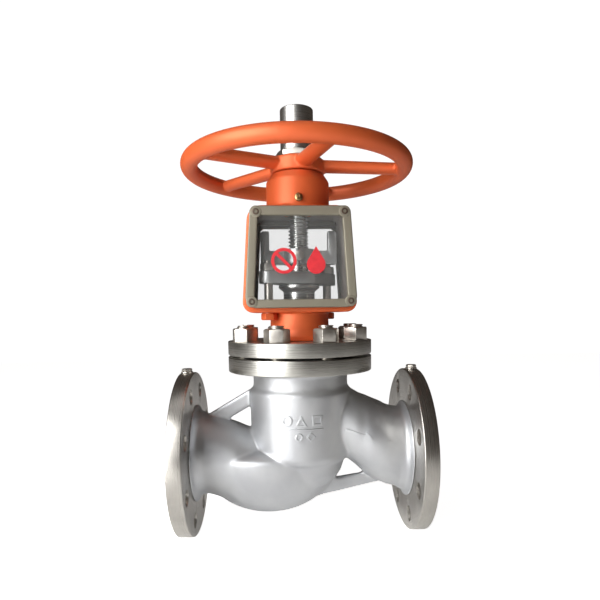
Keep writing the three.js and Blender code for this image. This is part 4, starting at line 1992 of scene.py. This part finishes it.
# ---- Small fittings ----
@dataclass
class SmallFittings:
    """The grease nipple on the boss and the earthing bolts on the two pipe flanges."""

    nipple_height: float = 353.0
    bolt_place: float = 163.0

    def build(self) -> None:
        """Makes the nipple and both bolts."""
        nipple = lathe(
            "nipple",
            soften(
                [
                    (0, 38, 0),
                    (3, 38, 0),
                    (3, 44.2, 0),
                    (5.4, 44.2, 0.4),
                    (5.4, 47.5, 0.8),
                    (3.0, 48.6, 0.5),
                    (2.4, 50, 0.5),
                    (3.3, 51.4, 0.8),
                    (1.8, 53, 0.5),
                    (0, 52.4, 0),
                ],
                closed=False,
            ),
            48,
        )
        shifted(turned(nipple, 90, "X"), 0, 0, self.nipple_height)
        finished(shade(nipple), BODY, "brass", BRASS, "grease_nipple")
        for side, place in ((-1, "inlet"), (1, "outlet")):
            self._earthing_bolt(place, side)

    def _earthing_bolt(self, place: str, side: int) -> None:
        """Makes one earthing bolt with its washer.

        Args:
            place: inlet or outlet.
            side: -1 or 1 along X.
        """
        node = f"earthing_bolt_{place}"
        _, top = heights(node)
        bolt = hexagon(f"earthing_screw_{place}", 13, top - 4.5, top, 12 * side)
        combined(
            bolt,
            Boolean.JOIN,
            washer("washer", 2, 8.5, top - 6, top - 4.4, 0.3),
            rod("shank", 4, 108, top - 1),
        )
        shifted(bolt, side * self.bolt_place, 0)
        finished(shade(bolt), BODY, "bright_fasteners", FASTENER_STEEL, node)


@dataclass
class InnerPieces:
    """The pieces inside the valve, whose own shapes are right and only need a finish."""

    finishes: dict[str, Finish] = field(
        default_factory=lambda: {
            "seat_ring": STEM_STEEL,
            "disc": STEM_STEEL,
            "disc_nut": STEM_STEEL,
            "backseat_bush": STEM_STEEL,
            "packing_base_ring": STEM_STEEL,
            "packing_ring": GRAPHITE,
            "body_gasket": GRAPHITE,
            "stem_nut": BRASS,
            "thrust_bearing": FASTENER_STEEL,
            "bearing_retainer": JOINT_STEEL,
            "handwheel_key": JOINT_STEEL,
        }
    )

    def build(self, nodes: dict[str, bpy.types.Object]) -> None:
        """Gives each inner piece its finish.

        Args:
            nodes: the CAD nodes by name.
        """
        for start, finish in self.finishes.items():
            for name, node in nodes.items():
                if name.startswith(start):
                    node.data.materials.clear()
                    node.data.materials.append(finish.make())
                    log.info("%s: %s", name, finish.name)


def main() -> None:
    """Builds the valve round the CAD frame."""
    logging.basicConfig(level=logging.INFO, format="%(message)s")
    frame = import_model()
    Viewpoint().build()
    Studio().build()
    BodyCasting().build()
    BonnetJoint().build()
    YokeCasting().build()
    Cover("front", -1, slip=1.5).build()
    Cover("rear", 1).build()
    PrintedMarks().build()
    Gland().build()
    StemLine().build()
    Handwheel().build()
    SmallFittings().build()
    InnerPieces().build(frame["nodes"])


if __name__ == "__main__":
    main()
